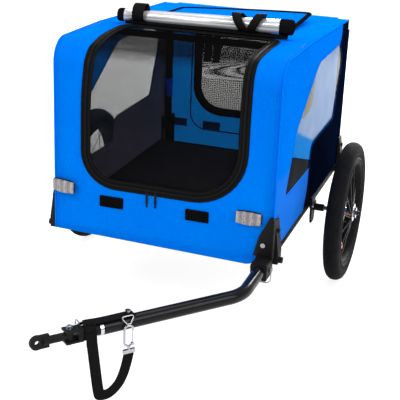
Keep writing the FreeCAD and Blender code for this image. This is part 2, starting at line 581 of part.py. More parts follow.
save("tow_bar", bar)
pin_end = k + 7
lock = rod(V(TOW_X - pin_end, pin_y, HEM), V(TOW_X + k + 1, pin_y, HEM), LOCK_PIN_R)
lock = lock.fuse(rod(V(TOW_X + k + 0.5, pin_y, HEM), V(TOW_X + pin_end, pin_y, HEM), PIN_HEAD_R - 2))
wire_x = k + 4
for s in (-1, 1):
    groove = rod(V(TOW_X + s * (wire_x - WIRE_R - 0.3), pin_y, HEM),
                 V(TOW_X + s * (wire_x + WIRE_R + 0.3), pin_y, HEM), PIN_HEAD_R)
    core = rod(V(TOW_X + s * (wire_x - 3), pin_y, HEM), V(TOW_X + s * (wire_x + 3), pin_y, HEM), 2.4)
    lock = lock.cut(groove.cut(core))
drop = 36.0
eye_r = 2.4 + 0.3 + WIRE_R
bail = [V(TOW_X - wire_x, pin_y, HEM - eye_r), V(TOW_X - wire_x, pin_y, HEM - drop),
        V(TOW_X + wire_x, pin_y, HEM - drop), V(TOW_X + wire_x, pin_y, HEM - eye_r)]
bail = swept(filleted(bail, [0, 12, 12, 0], False), WIRE_R)
for s in (-1, 1):
    bail = bail.fuse(Part.makeTorus(eye_r, WIRE_R, V(TOW_X + s * wire_x, pin_y, HEM), X))
save("lock_pin_bail", bail.removeSplitter())

# Coupler end of the tow bar
save("tow_ferrule", pipe(at(TOW_TUBE_END), at(TOW_TUBE_END + FERRULE_L), TOW_R + 1, 5.0))
yoke0 = TOW_TUBE_END + FERRULE_L
yoke1 = yoke0 + SLEEVE_L
spigot = rod(at(TOW_TUBE_END - 30), at(yoke0), TOW_R - TOW_WALL - TUBE_FIT)
spigot = spigot.cut(rod(at(TOW_TUBE_END), at(yoke0), 30).cut(rod(at(TOW_TUBE_END), at(yoke0), TOW_R - 4.1)))
sleeve = rod(at(yoke0), at(yoke1), SLEEVE_R).fuse(spigot)


def along_box(t0, t1, n0, n1, h0, h1):
    pts = [at(t0, n0, h0), at(t1, n0, h0), at(t1, n1, h0), at(t0, n1, h0)]
    return plate(Part.makePolygon(pts + pts[:1]), Z * (h1 - h0))


tongue = TONGUE_H / 2
yoke = sleeve.fuse(along_box(yoke1 - 6, yoke1 + 6, -YOKE_HALF + 5, YOKE_HALF - 5, -tongue - YOKE_PLATE,
                             tongue + YOKE_PLATE))
for s in (-1, 1):
    h0 = tongue + SEW_GAP if s > 0 else -tongue - YOKE_PLATE
    h1 = tongue + YOKE_PLATE if s > 0 else -tongue - SEW_GAP
    yoke = yoke.fuse(along_box(yoke1 - 6, yoke1 + YOKE_L - 6, -YOKE_HALF + 5, YOKE_HALF - 5, h0, h1))
pin_bore = rod(at(PIN_AT, 0, -60), at(PIN_AT, 0, 60), PIN_R + RUN_FIT)
save("hitch_yoke", yoke.cut(pin_bore).removeSplitter())
head_h = tongue + YOKE_PLATE
hitch_pin = rod(at(PIN_AT, 0, -head_h - 7), at(PIN_AT, 0, head_h), PIN_R)
hitch_pin = hitch_pin.fuse(rod(at(PIN_AT, 0, head_h), at(PIN_AT, 0, head_h + PIN_HEAD_T), PIN_HEAD_R))
hitch_pin = hitch_pin.fuse(rod(at(PIN_AT, 0, head_h + PIN_HEAD_T), at(PIN_AT, 0, head_h + 10), 2.4))
groove = rod(at(PIN_AT, 0, -head_h - 4 - WIRE_R - 0.3), at(PIN_AT, 0, -head_h - 4 + WIRE_R + 0.3), 9)
hitch_pin = hitch_pin.cut(groove.cut(rod(at(PIN_AT, 0, -head_h - 9), at(PIN_AT, 0, head_h), 2.4)))
save("tow_pins", hitch_pin.removeSplitter(), lock.removeSplitter())
loop_in = 25.0
top_h = head_h + 7
low_h = -head_h - 4
wire = [at(PIN_AT - eye_r, 0, top_h), at(PIN_AT - loop_in, 0, top_h),
        at(PIN_AT - loop_in, -YOKE_HALF - 6, top_h), at(PIN_AT - loop_in, -YOKE_HALF - 6, low_h),
        at(PIN_AT - loop_in, 0, low_h), at(PIN_AT - eye_r, 0, low_h)]
clip = swept(filleted(wire, [0, 8, 8, 8, 8, 0], False), WIRE_R)
for hgt in (top_h, low_h):
    clip = clip.fuse(Part.makeTorus(eye_r, WIRE_R, at(PIN_AT, 0, hgt), Z))
save("hitch_pin_bail", clip.removeSplitter())
neck_end = EYE_AT - EYE_R + 3
knuckle = rod(at(PIN_AT, 0, -tongue), at(PIN_AT, 0, tongue), 9.0)
coupler = knuckle.fuse(rod(at(PIN_AT), at(neck_end), NECK_R))
eye = rod(at(EYE_AT, -EYE_T / 2), at(EYE_AT, EYE_T / 2), EYE_R)
tang = along_box(neck_end - 14, EYE_AT, -EYE_T / 2, EYE_T / 2, -EYE_R + 1, EYE_R - 1)
coupler = coupler.fuse(eye).fuse(tang).cut(pin_bore)
coupler = coupler.cut(rod(at(EYE_AT, -EYE_T), at(EYE_AT, EYE_T), EYE_BORE_R))
save("coupler", coupler.removeSplitter())

# Safety strap: bolted to the bar, laid along its top, looped round it and left hanging
lay_h = TOW_R + 1 + SEW_GAP
loop_r = TOW_R + SEW_GAP
loop = pipe(at(LOOP_AT - STRAP_W / 2), at(LOOP_AT + STRAP_W / 2), loop_r + STRAP_T, STRAP_T)
lay = along_box(STRAP_BOLT_AT - 14, LOOP_AT, -STRAP_W / 2, STRAP_W / 2, lay_h, lay_h + STRAP_T)
lay = lay.cut(rod(at(LOOP_AT - STRAP_W), at(LOOP_AT + STRAP_W), loop_r + STRAP_T - 1))
lay = max(lay.Solids, key=lambda q: q.Volume)
bolt_bore = rod(at(STRAP_BOLT_AT, 0, 0), at(STRAP_BOLT_AT, 0, 60), BOLT_R + TUBE_FIT)
save("strap_loop", loop.fuse(lay).cut(bolt_bore).removeSplitter())
lay_top = lay_h + STRAP_T
strap_bolt = rod(at(STRAP_BOLT_AT, 0, TOW_R - 12), at(STRAP_BOLT_AT, 0, lay_top + 5), BOLT_R)
strap_bolt = strap_bolt.fuse(rod(at(STRAP_BOLT_AT, 0, lay_top + 5),
                                 at(STRAP_BOLT_AT, 0, lay_top + 9), BOLT_HEAD_R))
bolts = bolts + [mirror(q) for q in bolts]
save("frame_bolts", strap_bolt.removeSplitter(), screw.removeSplitter(), *bolts)
ring_low = 6.0
ring_top = at(HOOK_AT, STRAP_W / 2 + 1.1, lay_top + 1.8)
hook_n = TOW_R + 5
ring = swept(filleted([ring_top - ALONG * 17, ring_top + ALONG * 17, at(HOOK_AT + 4, hook_n, ring_low),
                       at(HOOK_AT - 4, hook_n, ring_low)], [4, 4, 3, 3]), WIRE_R)
save("strap_ring", ring)
route = [at(t, hook_n, hgt) for t, hgt in STRAP_ROUTE]
radii = [0.0] * len(route)
for i in range(1, len(route) - 1):
    run0 = route[i].sub(route[i - 1])
    run1 = route[i + 1].sub(route[i])
    radii[i] = 0.45 * min(run0.Length, run1.Length) / math.tan(run0.getAngle(run1) / 2)
print("strap radii", [round(r, 1) for r in radii])
centre = filleted(route, radii, False)
first = centre.OrderedEdges[0]
start_dir = first.tangentAt(first.FirstParameter)
side_dir = start_dir.cross(ACROSS).normalize()
p0 = route[0]
corners = [p0 + side_dir * (s * STRAP_W / 2) + ACROSS * (q * STRAP_T / 2)
           for s, q in ((-1, -1), (1, -1), (1, 1), (-1, 1))]
section = Part.makePolygon(corners + corners[:1])
strap = centre.makePipeShell([section], True, False)
low = STRAP_ROUTE[-1][1]
strap = strap.cut(along_box(HOOK_AT - STRAP_W, HOOK_AT + STRAP_W, hook_n - STRAP_W, hook_n + STRAP_W,
                            low, low + STRAP_W))
print("strap length", round(centre.Length, 1), "volume ratio",
      round(strap.Volume / (centre.Length * STRAP_W * STRAP_T), 3))
save("safety_strap", strap)
cap0 = low + SEW_GAP
shoe = along_box(HOOK_AT - 14, HOOK_AT + 14, hook_n - 3, hook_n + 3, cap0, cap0 + 9)
stem = rod(at(HOOK_AT, hook_n, cap0 + 9), at(HOOK_AT, hook_n, cap0 + 17), 3.0)
hook_low = cap0 + 17
hook_top = ring_low - WIRE_R - HOOK_WIRE_R - SEW_GAP
hook_path = [at(HOOK_AT, hook_n, hook_low - 2), at(HOOK_AT + 11, hook_n, hook_low + 6),
             at(HOOK_AT + 11, hook_n, hook_top), at(HOOK_AT - 9, hook_n, hook_top),
             at(HOOK_AT - 9, hook_n, hook_top - 12)]
hook = swept(filleted(hook_path, [0, 6, 8, 8, 0], False), HOOK_WIRE_R)
pivot = at(HOOK_AT - 9, hook_n, hook_low + 4)
lug = rod(pivot - ACROSS * 3, pivot + ACROSS * 3, 3.2)
lug = lug.fuse(rod(at(HOOK_AT, hook_n, hook_low - 1), pivot, 2.4))
gate_top = hook_top - 12 - SEW_GAP
slot = along_box(HOOK_AT - 14, HOOK_AT - 4.5, hook_n - 1.4, hook_n + 1.4, hook_low + 0.4, hook_low + 12)
lug = lug.cut(slot)
gate_pin = rod(pivot - ACROSS * 3, pivot + ACROSS * 3, 1.0)
lug = lug.cut(rod(pivot - ACROSS * 4, pivot + ACROSS * 4, 1.0 + RUN_FIT))
body = shoe.fuse(stem).fuse(hook).fuse(lug)
save("snap_hook", max(body.Solids, key=lambda q: q.Volume))
gate = rod(pivot, at(HOOK_AT - 9, hook_n, gate_top), 1.2).fuse(gate_pin)
save("snap_hook_gate", gate)
print("frame", round(FRONT_Y, 3), round(AXLE_Y, 3), round(FRONT_PIVOT_Y, 3), round(REAR_PIVOT_Y, 3),
      round(PIVOT_Z, 3), round(SIDE_X, 3))
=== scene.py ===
"""Dog bike trailer: a blue cloth cabin with net doors on a black tube frame, spoked wheels and a tow bar."""
import math

import bmesh
import bpy
import numpy as np
from mathutils import Matrix, Vector, noise
from mathutils.geometry import delaunay_2d_cdt


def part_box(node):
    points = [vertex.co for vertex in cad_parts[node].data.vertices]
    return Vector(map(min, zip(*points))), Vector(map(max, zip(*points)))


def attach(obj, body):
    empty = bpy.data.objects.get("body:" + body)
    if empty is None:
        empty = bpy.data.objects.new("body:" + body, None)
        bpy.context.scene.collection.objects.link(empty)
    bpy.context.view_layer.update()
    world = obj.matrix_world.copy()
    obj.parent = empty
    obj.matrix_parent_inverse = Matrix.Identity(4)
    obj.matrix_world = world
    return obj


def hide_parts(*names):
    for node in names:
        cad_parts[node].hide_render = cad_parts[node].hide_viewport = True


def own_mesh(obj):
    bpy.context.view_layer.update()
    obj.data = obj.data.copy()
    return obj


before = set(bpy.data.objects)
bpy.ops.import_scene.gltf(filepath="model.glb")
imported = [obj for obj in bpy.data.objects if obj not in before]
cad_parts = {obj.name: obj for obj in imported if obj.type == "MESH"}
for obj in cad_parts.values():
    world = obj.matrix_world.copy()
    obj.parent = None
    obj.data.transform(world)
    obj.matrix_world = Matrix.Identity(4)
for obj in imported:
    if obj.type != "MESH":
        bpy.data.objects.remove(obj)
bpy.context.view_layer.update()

# Sizes in metres, as in the part's source
HALF = 0.295
LENGTH = 0.814
HEM = 0.198
FRONT_Y = -0.109062
REAR_Y = FRONT_Y + LENGTH
ROOF_FRONT = 0.502
ROOF_REAR = 0.480
CORNER_R = 0.058
ROOF_SEAM = 0.285
DOOR_HALF, DOOR_LOW, DOOR_R, DOOR_REACH = 0.222, 0.130, 0.095, 0.280
REAR_HALF, REAR_LOW, REAR_TOP = 0.200, 0.123, 0.440
AXLE_Y, AXLE_Z, WHEEL_X = 0.333938, 0.198, 0.3935
WINDOW = [(.104, .142, .010), (.367, .136, .008), (.374, .206, .034), (.656, .209, .012),
          (.728, .365, .050), (.682, .426, .040), (.405, .426, .110), (.178, .290, .120)]
# The tow bar's second run: where it starts, and the ways along it and across it
BEND = Vector((0.280, -0.306062, 0.198))
ALONG = Vector((-0.646790, -0.762668, 0))
ACROSS = Vector((0.762668, -0.646790, 0))
UP = Vector((0, 0, 1))
RISE = ROOF_FRONT - CORNER_R
FRONT_RUN = RISE + CORNER_R * math.pi / 2 + ROOF_SEAM - CORNER_R
DOOR_TOP = RISE + CORNER_R * math.pi / 2 + DOOR_REACH - CORNER_R
# Thicknesses of the soft goods, and the webbing's width
CLOTH_THICK, FILM_THICK, NET_THICK = 0.0014, 0.0005, 0.0003
WEB_WIDE, WEB_THICK = 0.025, 0.0025
# The photo's camera: degrees of azimuth, elevation and roll, its place, and its focal length in pixels
CAMERA_ANGLES = (18.04, 20.484, 2.381)
CAMERA_PLACE = (0.8253, -2.3265, 1.2083)
FOCAL_PIXELS, PHOTO_SIDE, SENSOR = 1000.6, 400, 36.0


def add_object(name, data):
    obj = bpy.data.objects.new(name, data)
    bpy.context.collection.objects.link(obj)
    return obj


# Camera, light and floor
def photo_camera():
    az, el, roll = (math.radians(a) for a in CAMERA_ANGLES)
    back = Vector((math.sin(az) * math.cos(el), -math.cos(az) * math.cos(el), math.sin(el)))
    level = Vector((math.cos(az), math.sin(az), 0))
    upright = back.cross(level)
    right = level * math.cos(roll) + upright * math.sin(roll)
    up = upright * math.cos(roll) - level * math.sin(roll)
    turn = Matrix((right, up, back)).transposed().to_4x4()
    lens = bpy.data.cameras.new("photo_camera")
    lens.sensor_width = SENSOR
    lens.lens = SENSOR * FOCAL_PIXELS / PHOTO_SIDE
    lens.clip_end = 60.0
    eye = add_object("photo_camera", lens)
    eye.matrix_world = Matrix.Translation(CAMERA_PLACE) @ turn
    bpy.context.scene.camera = eye


def softbox(name, place, target, size, power):
    lamp = bpy.data.lights.new(name, "AREA")
    lamp.shape = "RECTANGLE"
    lamp.size, lamp.size_y = size
    lamp.energy = power
    obj = add_object(name, lamp)
    obj.location = place
    obj.rotation_euler = (Vector(target) - Vector(place)).to_track_quat("-Z", "Y").to_euler()


def fill(tree, node, sockets):
    """Links a node's inputs or gives them values."""
    for key, value in sockets.items():
        if isinstance(value, bpy.types.NodeSocket):
            tree.links.new(value, node.inputs[key])
        else:
            node.inputs[key].default_value = value


def add_node(tree, kind, sockets=None, **props):
    made = tree.nodes.new(kind)
    for key, value in props.items():
        setattr(made, key, value)
    fill(tree, made, sockets or {})
    return made


def seen_strength(tree, ray, low, high):
    """A strength that is high for the camera's rays and one other kind, and low for the rest."""
    path = add_node(tree, "ShaderNodeLightPath").outputs
    seen = add_node(tree, "ShaderNodeMath", {0: path["Is Camera Ray"], 1: path[ray]}, operation="MAXIMUM")
    level = add_node(tree, "ShaderNodeMapRange", {0: seen.outputs[0], "To Min": low, "To Max": high})
    return level.outputs[0]


def studio():
    scene = bpy.context.scene
    scene.view_settings.view_transform = "Standard"
    world = scene.world = bpy.data.worlds.new("studio")
    world.use_nodes = True
    tree = world.node_tree
    strength = seen_strength(tree, "Is Transmission Ray", 0.62, 1.0)
    fill(tree, tree.nodes["Background"], {"Color": (1.0, 1.0, 1.0, 1), "Strength": strength})
    softbox("key_light", (-1.6, -2.6, 2.9), (0, 0.2, 0.4), (2.2, 1.6), 66)
    softbox("side_light", (2.8, -0.9, 2.0), (0.1, 0.2, 0.35), (1.6, 1.8), 36)
    softbox("back_light", (0.2, 3.6, 1.5), (0, 0.7, 0.45), (2.4, 1.8), 210)
    softbox("top_light", (0.2, 0.8, 3.2), (0, 0.3, 0.5), (2.4, 2.0), 29)
    mesh = bpy.data.meshes.new("studio_floor")
    far = 15
    mesh.from_pydata([(-far, -far, 0), (far, -far, 0), (far, far, 0), (-far, far, 0)], [], [(0, 1, 2, 3)])
    ground = add_object("studio_floor", mesh)
    pale = Finish("pale_floor", 1.0, specular=0.0)
    pale.set(Base_Color=(0.40, 0.40, 0.40, 1))
    strength = seen_strength(pale.tree, "Is Glossy Ray", 0.45, 0.82)
    glow = pale.node("ShaderNodeEmission", {"Strength": strength})
    pale.surface(pale.node("ShaderNodeAddShader", {0: pale.skin.outputs[0], 1: glow.outputs[0]}))
    mesh.materials.append(pale.mat)


# Finishes
class Finish:
    """A material whose colour, roughness and relief come from its own nodes."""

    def __init__(self, name, rough, metal=0.0, specular=0.5):
        self.mat = bpy.data.materials.new(name)
        self.mat.use_nodes = True
        self.tree = self.mat.node_tree
        self.skin = self.tree.nodes["Principled BSDF"]
        self.set(Roughness=rough, Metallic=metal, Specular_IOR_Level=specular)
        self.place = self.tree.nodes.new("ShaderNodeTexCoord")

    def node(self, kind, sockets, **props):
        return add_node(self.tree, kind, sockets, **props)

    def surface(self, shader):
        fill(self.tree, self.tree.nodes["Material Output"], {"Surface": shader.outputs[0]})

    def coords(self, scale=(1, 1, 1), turn=(0, 0, 0), uv=False):
        source = self.place.outputs["UV" if uv else "Object"]
        return self.node("ShaderNodeMapping", {"Vector": source, "Scale": scale, "Rotation": turn}).outputs[0]

    def grain(self, scale, detail=3.0, stretch=(1, 1, 1)):
        return self.node("ShaderNodeTexNoise", {"Vector": self.coords(stretch), "Scale": scale,
                                                "Detail": detail}).outputs["Fac"]

    def wave(self, pitch, direction, turn=(0, 0, 0), uv=True):
        turns = 2 * math.pi / (20.0 * pitch)
        return self.node("ShaderNodeTexWave", {"Vector": self.coords(turn=turn, uv=uv), "Scale": turns},
                         bands_direction=direction).outputs["Fac"]

    def math(self, how, a, b):
        return self.node("ShaderNodeMath", {0: a, 1: b}, operation=how).outputs[0]

    def threads(self, pitch):
        return self.math("MULTIPLY", self.wave(pitch, "X"), self.wave(pitch, "Y"))

    def shades(self, by, dark, light):
        mixed = self.node("ShaderNodeMix", {0: by, 6: (*dark, 1), 7: (*light, 1)}, data_type="RGBA")
        self.set(Base_Color=mixed.outputs[2])

    def rough(self, by, low, high):
        made = self.node("ShaderNodeMapRange", {"Value": by, "From Min": 0.3, "From Max": 0.7,
                                                "To Min": low, "To Max": high})
        self.set(Roughness=made.outputs[0])

    def relief(self, height, depth, strength, under=None):
        made = self.node("ShaderNodeBump", {"Height": height, "Distance": depth, "Strength": strength})
        if under is not None:
            fill(self.tree, made, {"Normal": under})
        self.set(Normal=made.outputs[0])
        return made.outputs[0]

    def set(self, **values):
        fill(self.tree, self.skin, {key.replace("_", " "): value for key, value in values.items()})


def woven(name, dark, light, pitch=0.0011, through=0.0, glow=None):
    cloth = Finish(name, 0.78, specular=0.0)
    cloth.shades(cloth.grain(5.5, 5.0), dark, light)
    cloth.rough(cloth.grain(60), 0.72, 0.86)
    folds = cloth.relief(cloth.grain(9.0, 2.0), 0.003, 0.35)
    cloth.relief(cloth.threads(pitch), 0.0002, 0.5, folds)
    if through:
        lit = cloth.node("ShaderNodeBsdfTranslucent", {"Color": (*(glow or light), 1)})
        both = cloth.node("ShaderNodeMixShader", {0: through, 1: cloth.skin.outputs[0], 2: lit.outputs[0]})
        cloth.surface(both)
    return cloth.mat


def net(name, pitch, thread, yarn):
    """Open net: square holes between threads, with the holes clear."""
    cloth = Finish(name, 0.85, specular=0.0)
    cloth.shades(cloth.grain(30), tuple(0.7 * c for c in yarn), yarn)
    parts = cloth.node("ShaderNodeSeparateXYZ", {0: cloth.coords((1 / pitch, 1 / pitch, 1), uv=True)})
    edge = [cloth.math("LESS_THAN", cloth.math("FRACT", parts.outputs[k], 0.0), thread) for k in (0, 1)]
    cloth.set(Alpha=cloth.math("MAXIMUM", *edge))
    return cloth.mat


def webbing(name, dark, light):
    strap = Finish(name, 0.75, specular=0.03)
    strap.shades(strap.grain(180), dark, light)
    ribs = strap.wave(0.0022, "X", (0, 0, math.radians(45)))
    cross = strap.wave(0.0022, "X", (0, 0, math.radians(-45)))
    strap.relief(strap.math("MULTIPLY", ribs, cross), 0.0004, 0.7)
    return strap.mat


def clear_film(name, tint, alpha, glare_alpha, rough):
    """Window film: clear low down, milky above a slanted line, partly for creases and partly as painted glare
    where it catches the light.
    """
    film = Finish(name, rough, specular=0.12)
    film.shades(film.grain(7.0), tuple(0.9 * c for c in tint), tint)
    film.relief(film.grain(11.0, 2.0, (1, 1, 0.4)), 0.004, 0.35)
    film.rough(film.grain(25), rough, rough + 0.08)
    # Painted glare: above the slanted line the film turns more opaque and shows its pale tint, standing in
    # for light caught on the creased film.
    spot = film.node("ShaderNodeSeparateXYZ", {0: film.place.outputs["Object"]})
    slant = film.math("ADD", spot.outputs[2], film.math("MULTIPLY", spot.outputs[1], 0.375))
    slant = film.math("ADD", slant, film.math("MULTIPLY", film.grain(26.0, 2.0), 0.024))
    painted_glare = film.node("ShaderNodeMapRange", {"Value": slant, "From Min": 0.524, "From Max": 0.536,
                                              "To Min": alpha, "To Max": glare_alpha})
    film.set(Alpha=painted_glare.outputs[0])
    return film.mat


def rolled_film(name):
    """Layers of clear film wound on each other: silvery, with streaks along the roll."""
    film = Finish(name, 0.14, specular=0.7)
    film.shades(film.grain(42.0, 4.0, (0.06, 1, 1)), (0.30, 0.33, 0.36), (0.93, 0.92, 0.94))
    film.relief(film.grain(34.0, 3.0, (0.08, 1, 1)), 0.004, 0.6)
    film.set(Coat_Weight=0.8, Coat_Roughness=0.06, Metallic=0.25)
    return film.mat


def hard(name, dark, light, rough, specular, mottle, wear, pits, metal=0.0, stretch=(1, 1, 1)):
    """A hard finish with mottled colour, worn patches and fine pits, each on a grain of its own."""
    made = Finish(name, rough, metal, specular)
    made.shades(made.grain(*mottle), dark, light)
    scale, detail, less, more = wear
    made.rough(made.grain(scale, detail, stretch), rough - less, rough + more)
    scale, depth, strength = pits
    made.relief(made.grain(scale, 2.0, stretch), depth, strength)
    return made


def gloss_paint(name, dark, light, rough, shine):
    paint = hard(name, dark, light, rough, shine, (14, 4.0), (35, 4.0, 0.04, 0.1), (420, 0.0002, 0.2))
    paint.set(Coat_Weight=0.4 * shine, Coat_Roughness=0.1)
    return paint.mat


def moulded(name, dark, light, rough=0.48):
    return hard(name, dark, light, rough, 0.12, (25, 4.0), (90, 3.0, 0.08, 0.1), (900, 0.0003, 0.35)).mat


def bright_metal(name, dark, light, rough):
    return hard(name, dark, light, rough, 0.5, (60, 4.0), (150, 3.0, 0.06, 0.1), (700, 0.0001, 0.2), 1.0,
                (1, 1, 0.2)).mat


def tyre_rubber(name, dark, light):
    return hard(name, dark, light, 0.78, 0.06, (40, 5.0), (120, 3.0, 0.12, 0.12), (600, 0.0004, 0.4)).mat


def prism_lens(name, dark, light, facet_light=0.0):
    """Reflector lens: fine prisms under a glossy face; the optional vertical bands are painted highlight and
    shade on the facets.
    """
    lens = Finish(name, 0.22, specular=0.4)
    cells = lens.node("ShaderNodeTexVoronoi", {"Vector": lens.coords(), "Scale": 330.0})
    # Painted highlight and shade: light and dark vertical bands across the lens stand in for its facets
    # catching the light.
    painted_facet_bands = lens.math("MULTIPLY", lens.wave(0.0185, "X", uv=False), facet_light)
    lens.shades(lens.math("ADD", cells.outputs["Distance"], painted_facet_bands), light, dark)
    lens.relief(cells.outputs["Distance"], 0.0006, 0.6)
    lens.set(Coat_Weight=0.35, Coat_Roughness=0.06)
    return lens.mat


def lining(name, dark, light):
    cloth = Finish(name, 0.88, specular=0.0)
    cloth.shades(cloth.grain(16, 5.0), dark, light)
    cloth.relief(cloth.threads(0.0016), 0.0003, 0.5)
    return cloth.mat


photo_camera()
studio()
BLUE = woven("blue_cloth", (0.000, 0.195, 0.98), (0.000, 0.225, 1.00), through=0.28, glow=(0.60, 0.85, 1.0))
CORDING = woven("blue_piping", (0.000, 0.180, 0.90), (0.000, 0.200, 0.95))
# Painted light: the cloth's inner face is lighter and greener than the blue outside, standing in for daylight
# shining through the cloth, on top of the translucent mix.
BLUE_INSIDE_LIT = woven("blue_inside_painted_light", (0.000, 0.38, 0.84), (0.000, 0.45, 0.92), through=0.6)
NAVY = woven("navy_cloth", (0.001, 0.002, 0.008), (0.002, 0.005, 0.018))
LINING = lining("black_lining", (0.340, 0.235, 0.240), (0.540, 0.380, 0.385))
FLOOR_CLOTH = lining("floor_cloth", (0.036, 0.031, 0.032), (0.080, 0.068, 0.070))
PATCH = lining("patch_cloth", (0.003, 0.003, 0.003), (0.007, 0.0065, 0.007))
# Painted shade: dark teal for the shade that patches on the rear sheet's outside cast through the cloth; the
# rear dark line is drawn in it too.
PAINTED_THROUGH_SHADE = lining("painted_shade_through_cloth", (0.000, 0.030, 0.085), (0.000, 0.050, 0.130))
TAPE = webbing("zip_tape", (0.004, 0.004, 0.0045), (0.010, 0.0095, 0.010))
STRAP = webbing("black_webbing", (0.004, 0.004, 0.0045), (0.012, 0.012, 0.0125))
PIPING = woven("black_binding", (0.004, 0.004, 0.004), (0.010, 0.0095, 0.0095), 0.0009)
NET = net("door_net", 0.0017, 0.44, (0.004, 0.004, 0.0042))
# The right window's film has the painted glare above the slanted line.
FILM = clear_film("window_film", (0.36, 0.36, 0.25), 0.02, 0.28, 0.12)
CLEAR_FILM = clear_film("clear_window_film", (0.12, 0.13, 0.13), 0.20, 0.20, 0.20)
ROLLED = rolled_film("rolled_film")
PAINT = gloss_paint("black_paint", (0.004, 0.004, 0.005), (0.008, 0.0085, 0.010), 0.13, 0.12)
DULL_PAINT = gloss_paint("dull_black_paint", (0.003, 0.003, 0.0035), (0.006, 0.006, 0.007), 0.45, 0.06)
PLASTIC = moulded("black_moulding", (0.005, 0.005, 0.0055), (0.011, 0.011, 0.012))
STEEL = bright_metal("bright_steel", (0.30, 0.31, 0.33), (0.52, 0.53, 0.55), 0.24)
CHROME = bright_metal("chrome", (0.45, 0.46, 0.49), (0.66, 0.67, 0.69), 0.12)
RIM = moulded("rim_black", (0.003, 0.003, 0.0035), (0.006, 0.006, 0.0065), 0.6)
SPOKE = bright_metal("dark_spokes", (0.045, 0.046, 0.05), (0.10, 0.10, 0.11), 0.3)
RUBBER = tyre_rubber("tyre_rubber", (0.005, 0.005, 0.006), (0.014, 0.0145, 0.016))
# The clear lens carries the painted facet highlight and shade bands.
CLEAR_LENS = prism_lens("clear_lens", (0.20, 0.185, 0.19), (0.60, 0.56, 0.57), 0.6)
AMBER_LENS = prism_lens("amber_lens", (0.62, 0.11, 0.004), (0.95, 0.27, 0.01))
THREAD = moulded("sewing_thread", (0.012, 0.012, 0.013), (0.025, 0.025, 0.027), 0.6)
BLUE_THREAD = moulded("blue_thread", (0.0, 0.11, 0.62), (0.0, 0.16, 0.85), 0.6)


# Cutting and sewing
def inside(points, ring):
    """Which of the flat points lie inside a closed ring."""
    p = np.asarray(points, float)
    a = np.asarray(ring, float)
    b = np.roll(a, -1, axis=0)
    hit = np.zeros(len(p), bool)
    for (x0, y0), (x1, y1) in zip(a, b):
        over = (y0 > p[:, 1]) != (y1 > p[:, 1])
        if over.any():
            cross = x0 + (p[:, 1] - y0) * (x1 - x0) / (y1 - y0 if y1 != y0 else 1e-12)
            hit ^= over & (p[:, 0] < cross)
    return hit


def away(points, rim):
    """Distance of each flat point from the nearest rim point."""
    p = np.asarray(points, float)
    r = np.asarray(rim, float)
    return np.sqrt(((p[:, None, :] - r[None, :, :]) ** 2).sum(2)).min(1)


def filled(line, step, closed=True):
    """The same line with points no further apart than step."""
    out = []
    for p, q in zip(line, line[1:] + (line[:1] if closed else [])):
        n = max(1, math.ceil(math.dist(p, q) / step))
        out += [tuple(a + (b - a) * k / n for a, b in zip(p, q)) for k in range(n)]
    return out if closed else out + [line[-1]]


def rounded(corners, arc=7):
    """A closed outline with its corners rounded; each corner is x, y and radius."""
    out = []
    for i, (x, y, r) in enumerate(corners):
        p = Vector((x, y))
        d0 = (Vector(corners[i - 1][:2]) - p).normalized()
        d1 = (Vector(corners[(i + 1) % len(corners)][:2]) - p).normalized()
        half = d0.angle(d1) / 2
        centre = p + (d0 + d1).normalized() * (r / math.sin(half))
        a, b = p + d0 * (r / math.tan(half)) - centre, p + d1 * (r / math.tan(half)) - centre
        for k in range(arc):
            t = k / (arc - 1)
            out.append(tuple(centre + (a * (1 - t) + b * t).normalized() * r) if r else tuple(p))
    return out


def door_line(half, low, top, r_low, r_top, r_right=0.0, inset=0.0):
    """A door's closed outline, drawn in by inset, with the same number of points for any inset."""
    r_right = (r_right or r_low) - inset
    half, low, top, r_low, r_top = half - inset, low + inset, top - inset, r_low - inset, r_top - inset
    arcs = []
    for sx, z, sz, r, start in ((1, low, 1, r_right, -90), (1, top, -1, r_top, 0), (-1, top, -1, r_top, 90),
                                (-1, low, 1, r_low, 180)):
        cx, cz = sx * (half - r), z + sz * r
        turns = [math.radians(start + 9 * k) for k in range(11)]
        arcs.append([(cx + r * math.cos(a), cz + r * math.sin(a)) for a in turns])
    out = []
    for i, arc in enumerate(arcs):
        p, q = arc[-1], arcs[(i + 1) % 4][0]
        out += arc + [tuple(a + (b - a) * k / 40 for a, b in zip(p, q)) for k in range(1, 40)]
    return out


def cut_cloth(outline, holes=(), step=0.012, seams=()):
    """A flat cut of cloth as points, triangles and each point's distance from the cut edges."""
    def in_cloth(spots):
        good = inside(spots, outline)
        for h in holes:
            good &= ~inside(spots, h)
        return good

    verts, edges = [], []
    for line, closed in [(outline, True)] + [(h, True) for h in holes] + [(s, False) for s in seams]:
        first, n = len(verts), len(line)
        verts += line
        edges += [(first + i, first + (i + 1) % n) for i in range(n if closed else n - 1)]
    (x0, y0), (x1, y1) = np.min(outline, 0), np.max(outline, 0)
    grid = [(x0 + (i + 0.5 * (j % 2)) * step, y0 + j * step * 0.87)
            for j in range(int((y1 - y0) / step / 0.87) + 1) for i in range(int((x1 - x0) / step) + 1)]
    good = in_cloth(grid) & (away(grid, verts) > 0.55 * step)
    flat = verts + [g for g, ok in zip(grid, good) if ok]
    points, _, faces = delaunay_2d_cdt([Vector(p) for p in flat], edges, [], 0, 1e-7)[:3]
    points = [tuple(p) for p in points]
    good = in_cloth(np.array([np.mean([points[i] for i in f], 0) for f in faces]))
    rim = outline + [p for h in holes for p in h]
    return points, [tuple(f) for f, ok in zip(faces, good) if ok], away(points, rim)


def new_piece(name, verts, faces, mats, uvs):
    mesh = bpy.data.meshes.new(name)
    mesh.from_pydata([tuple(v) for v in verts], [], faces)
    for m in mats:
        mesh.materials.append(m)
    layer = mesh.uv_layers.new(name="cut")
    for loop in mesh.loops:
        layer.data[loop.index].uv = uvs[loop.vertex_index]
    mesh.shade_smooth()
    mesh.update()
    return add_object(name, mesh)


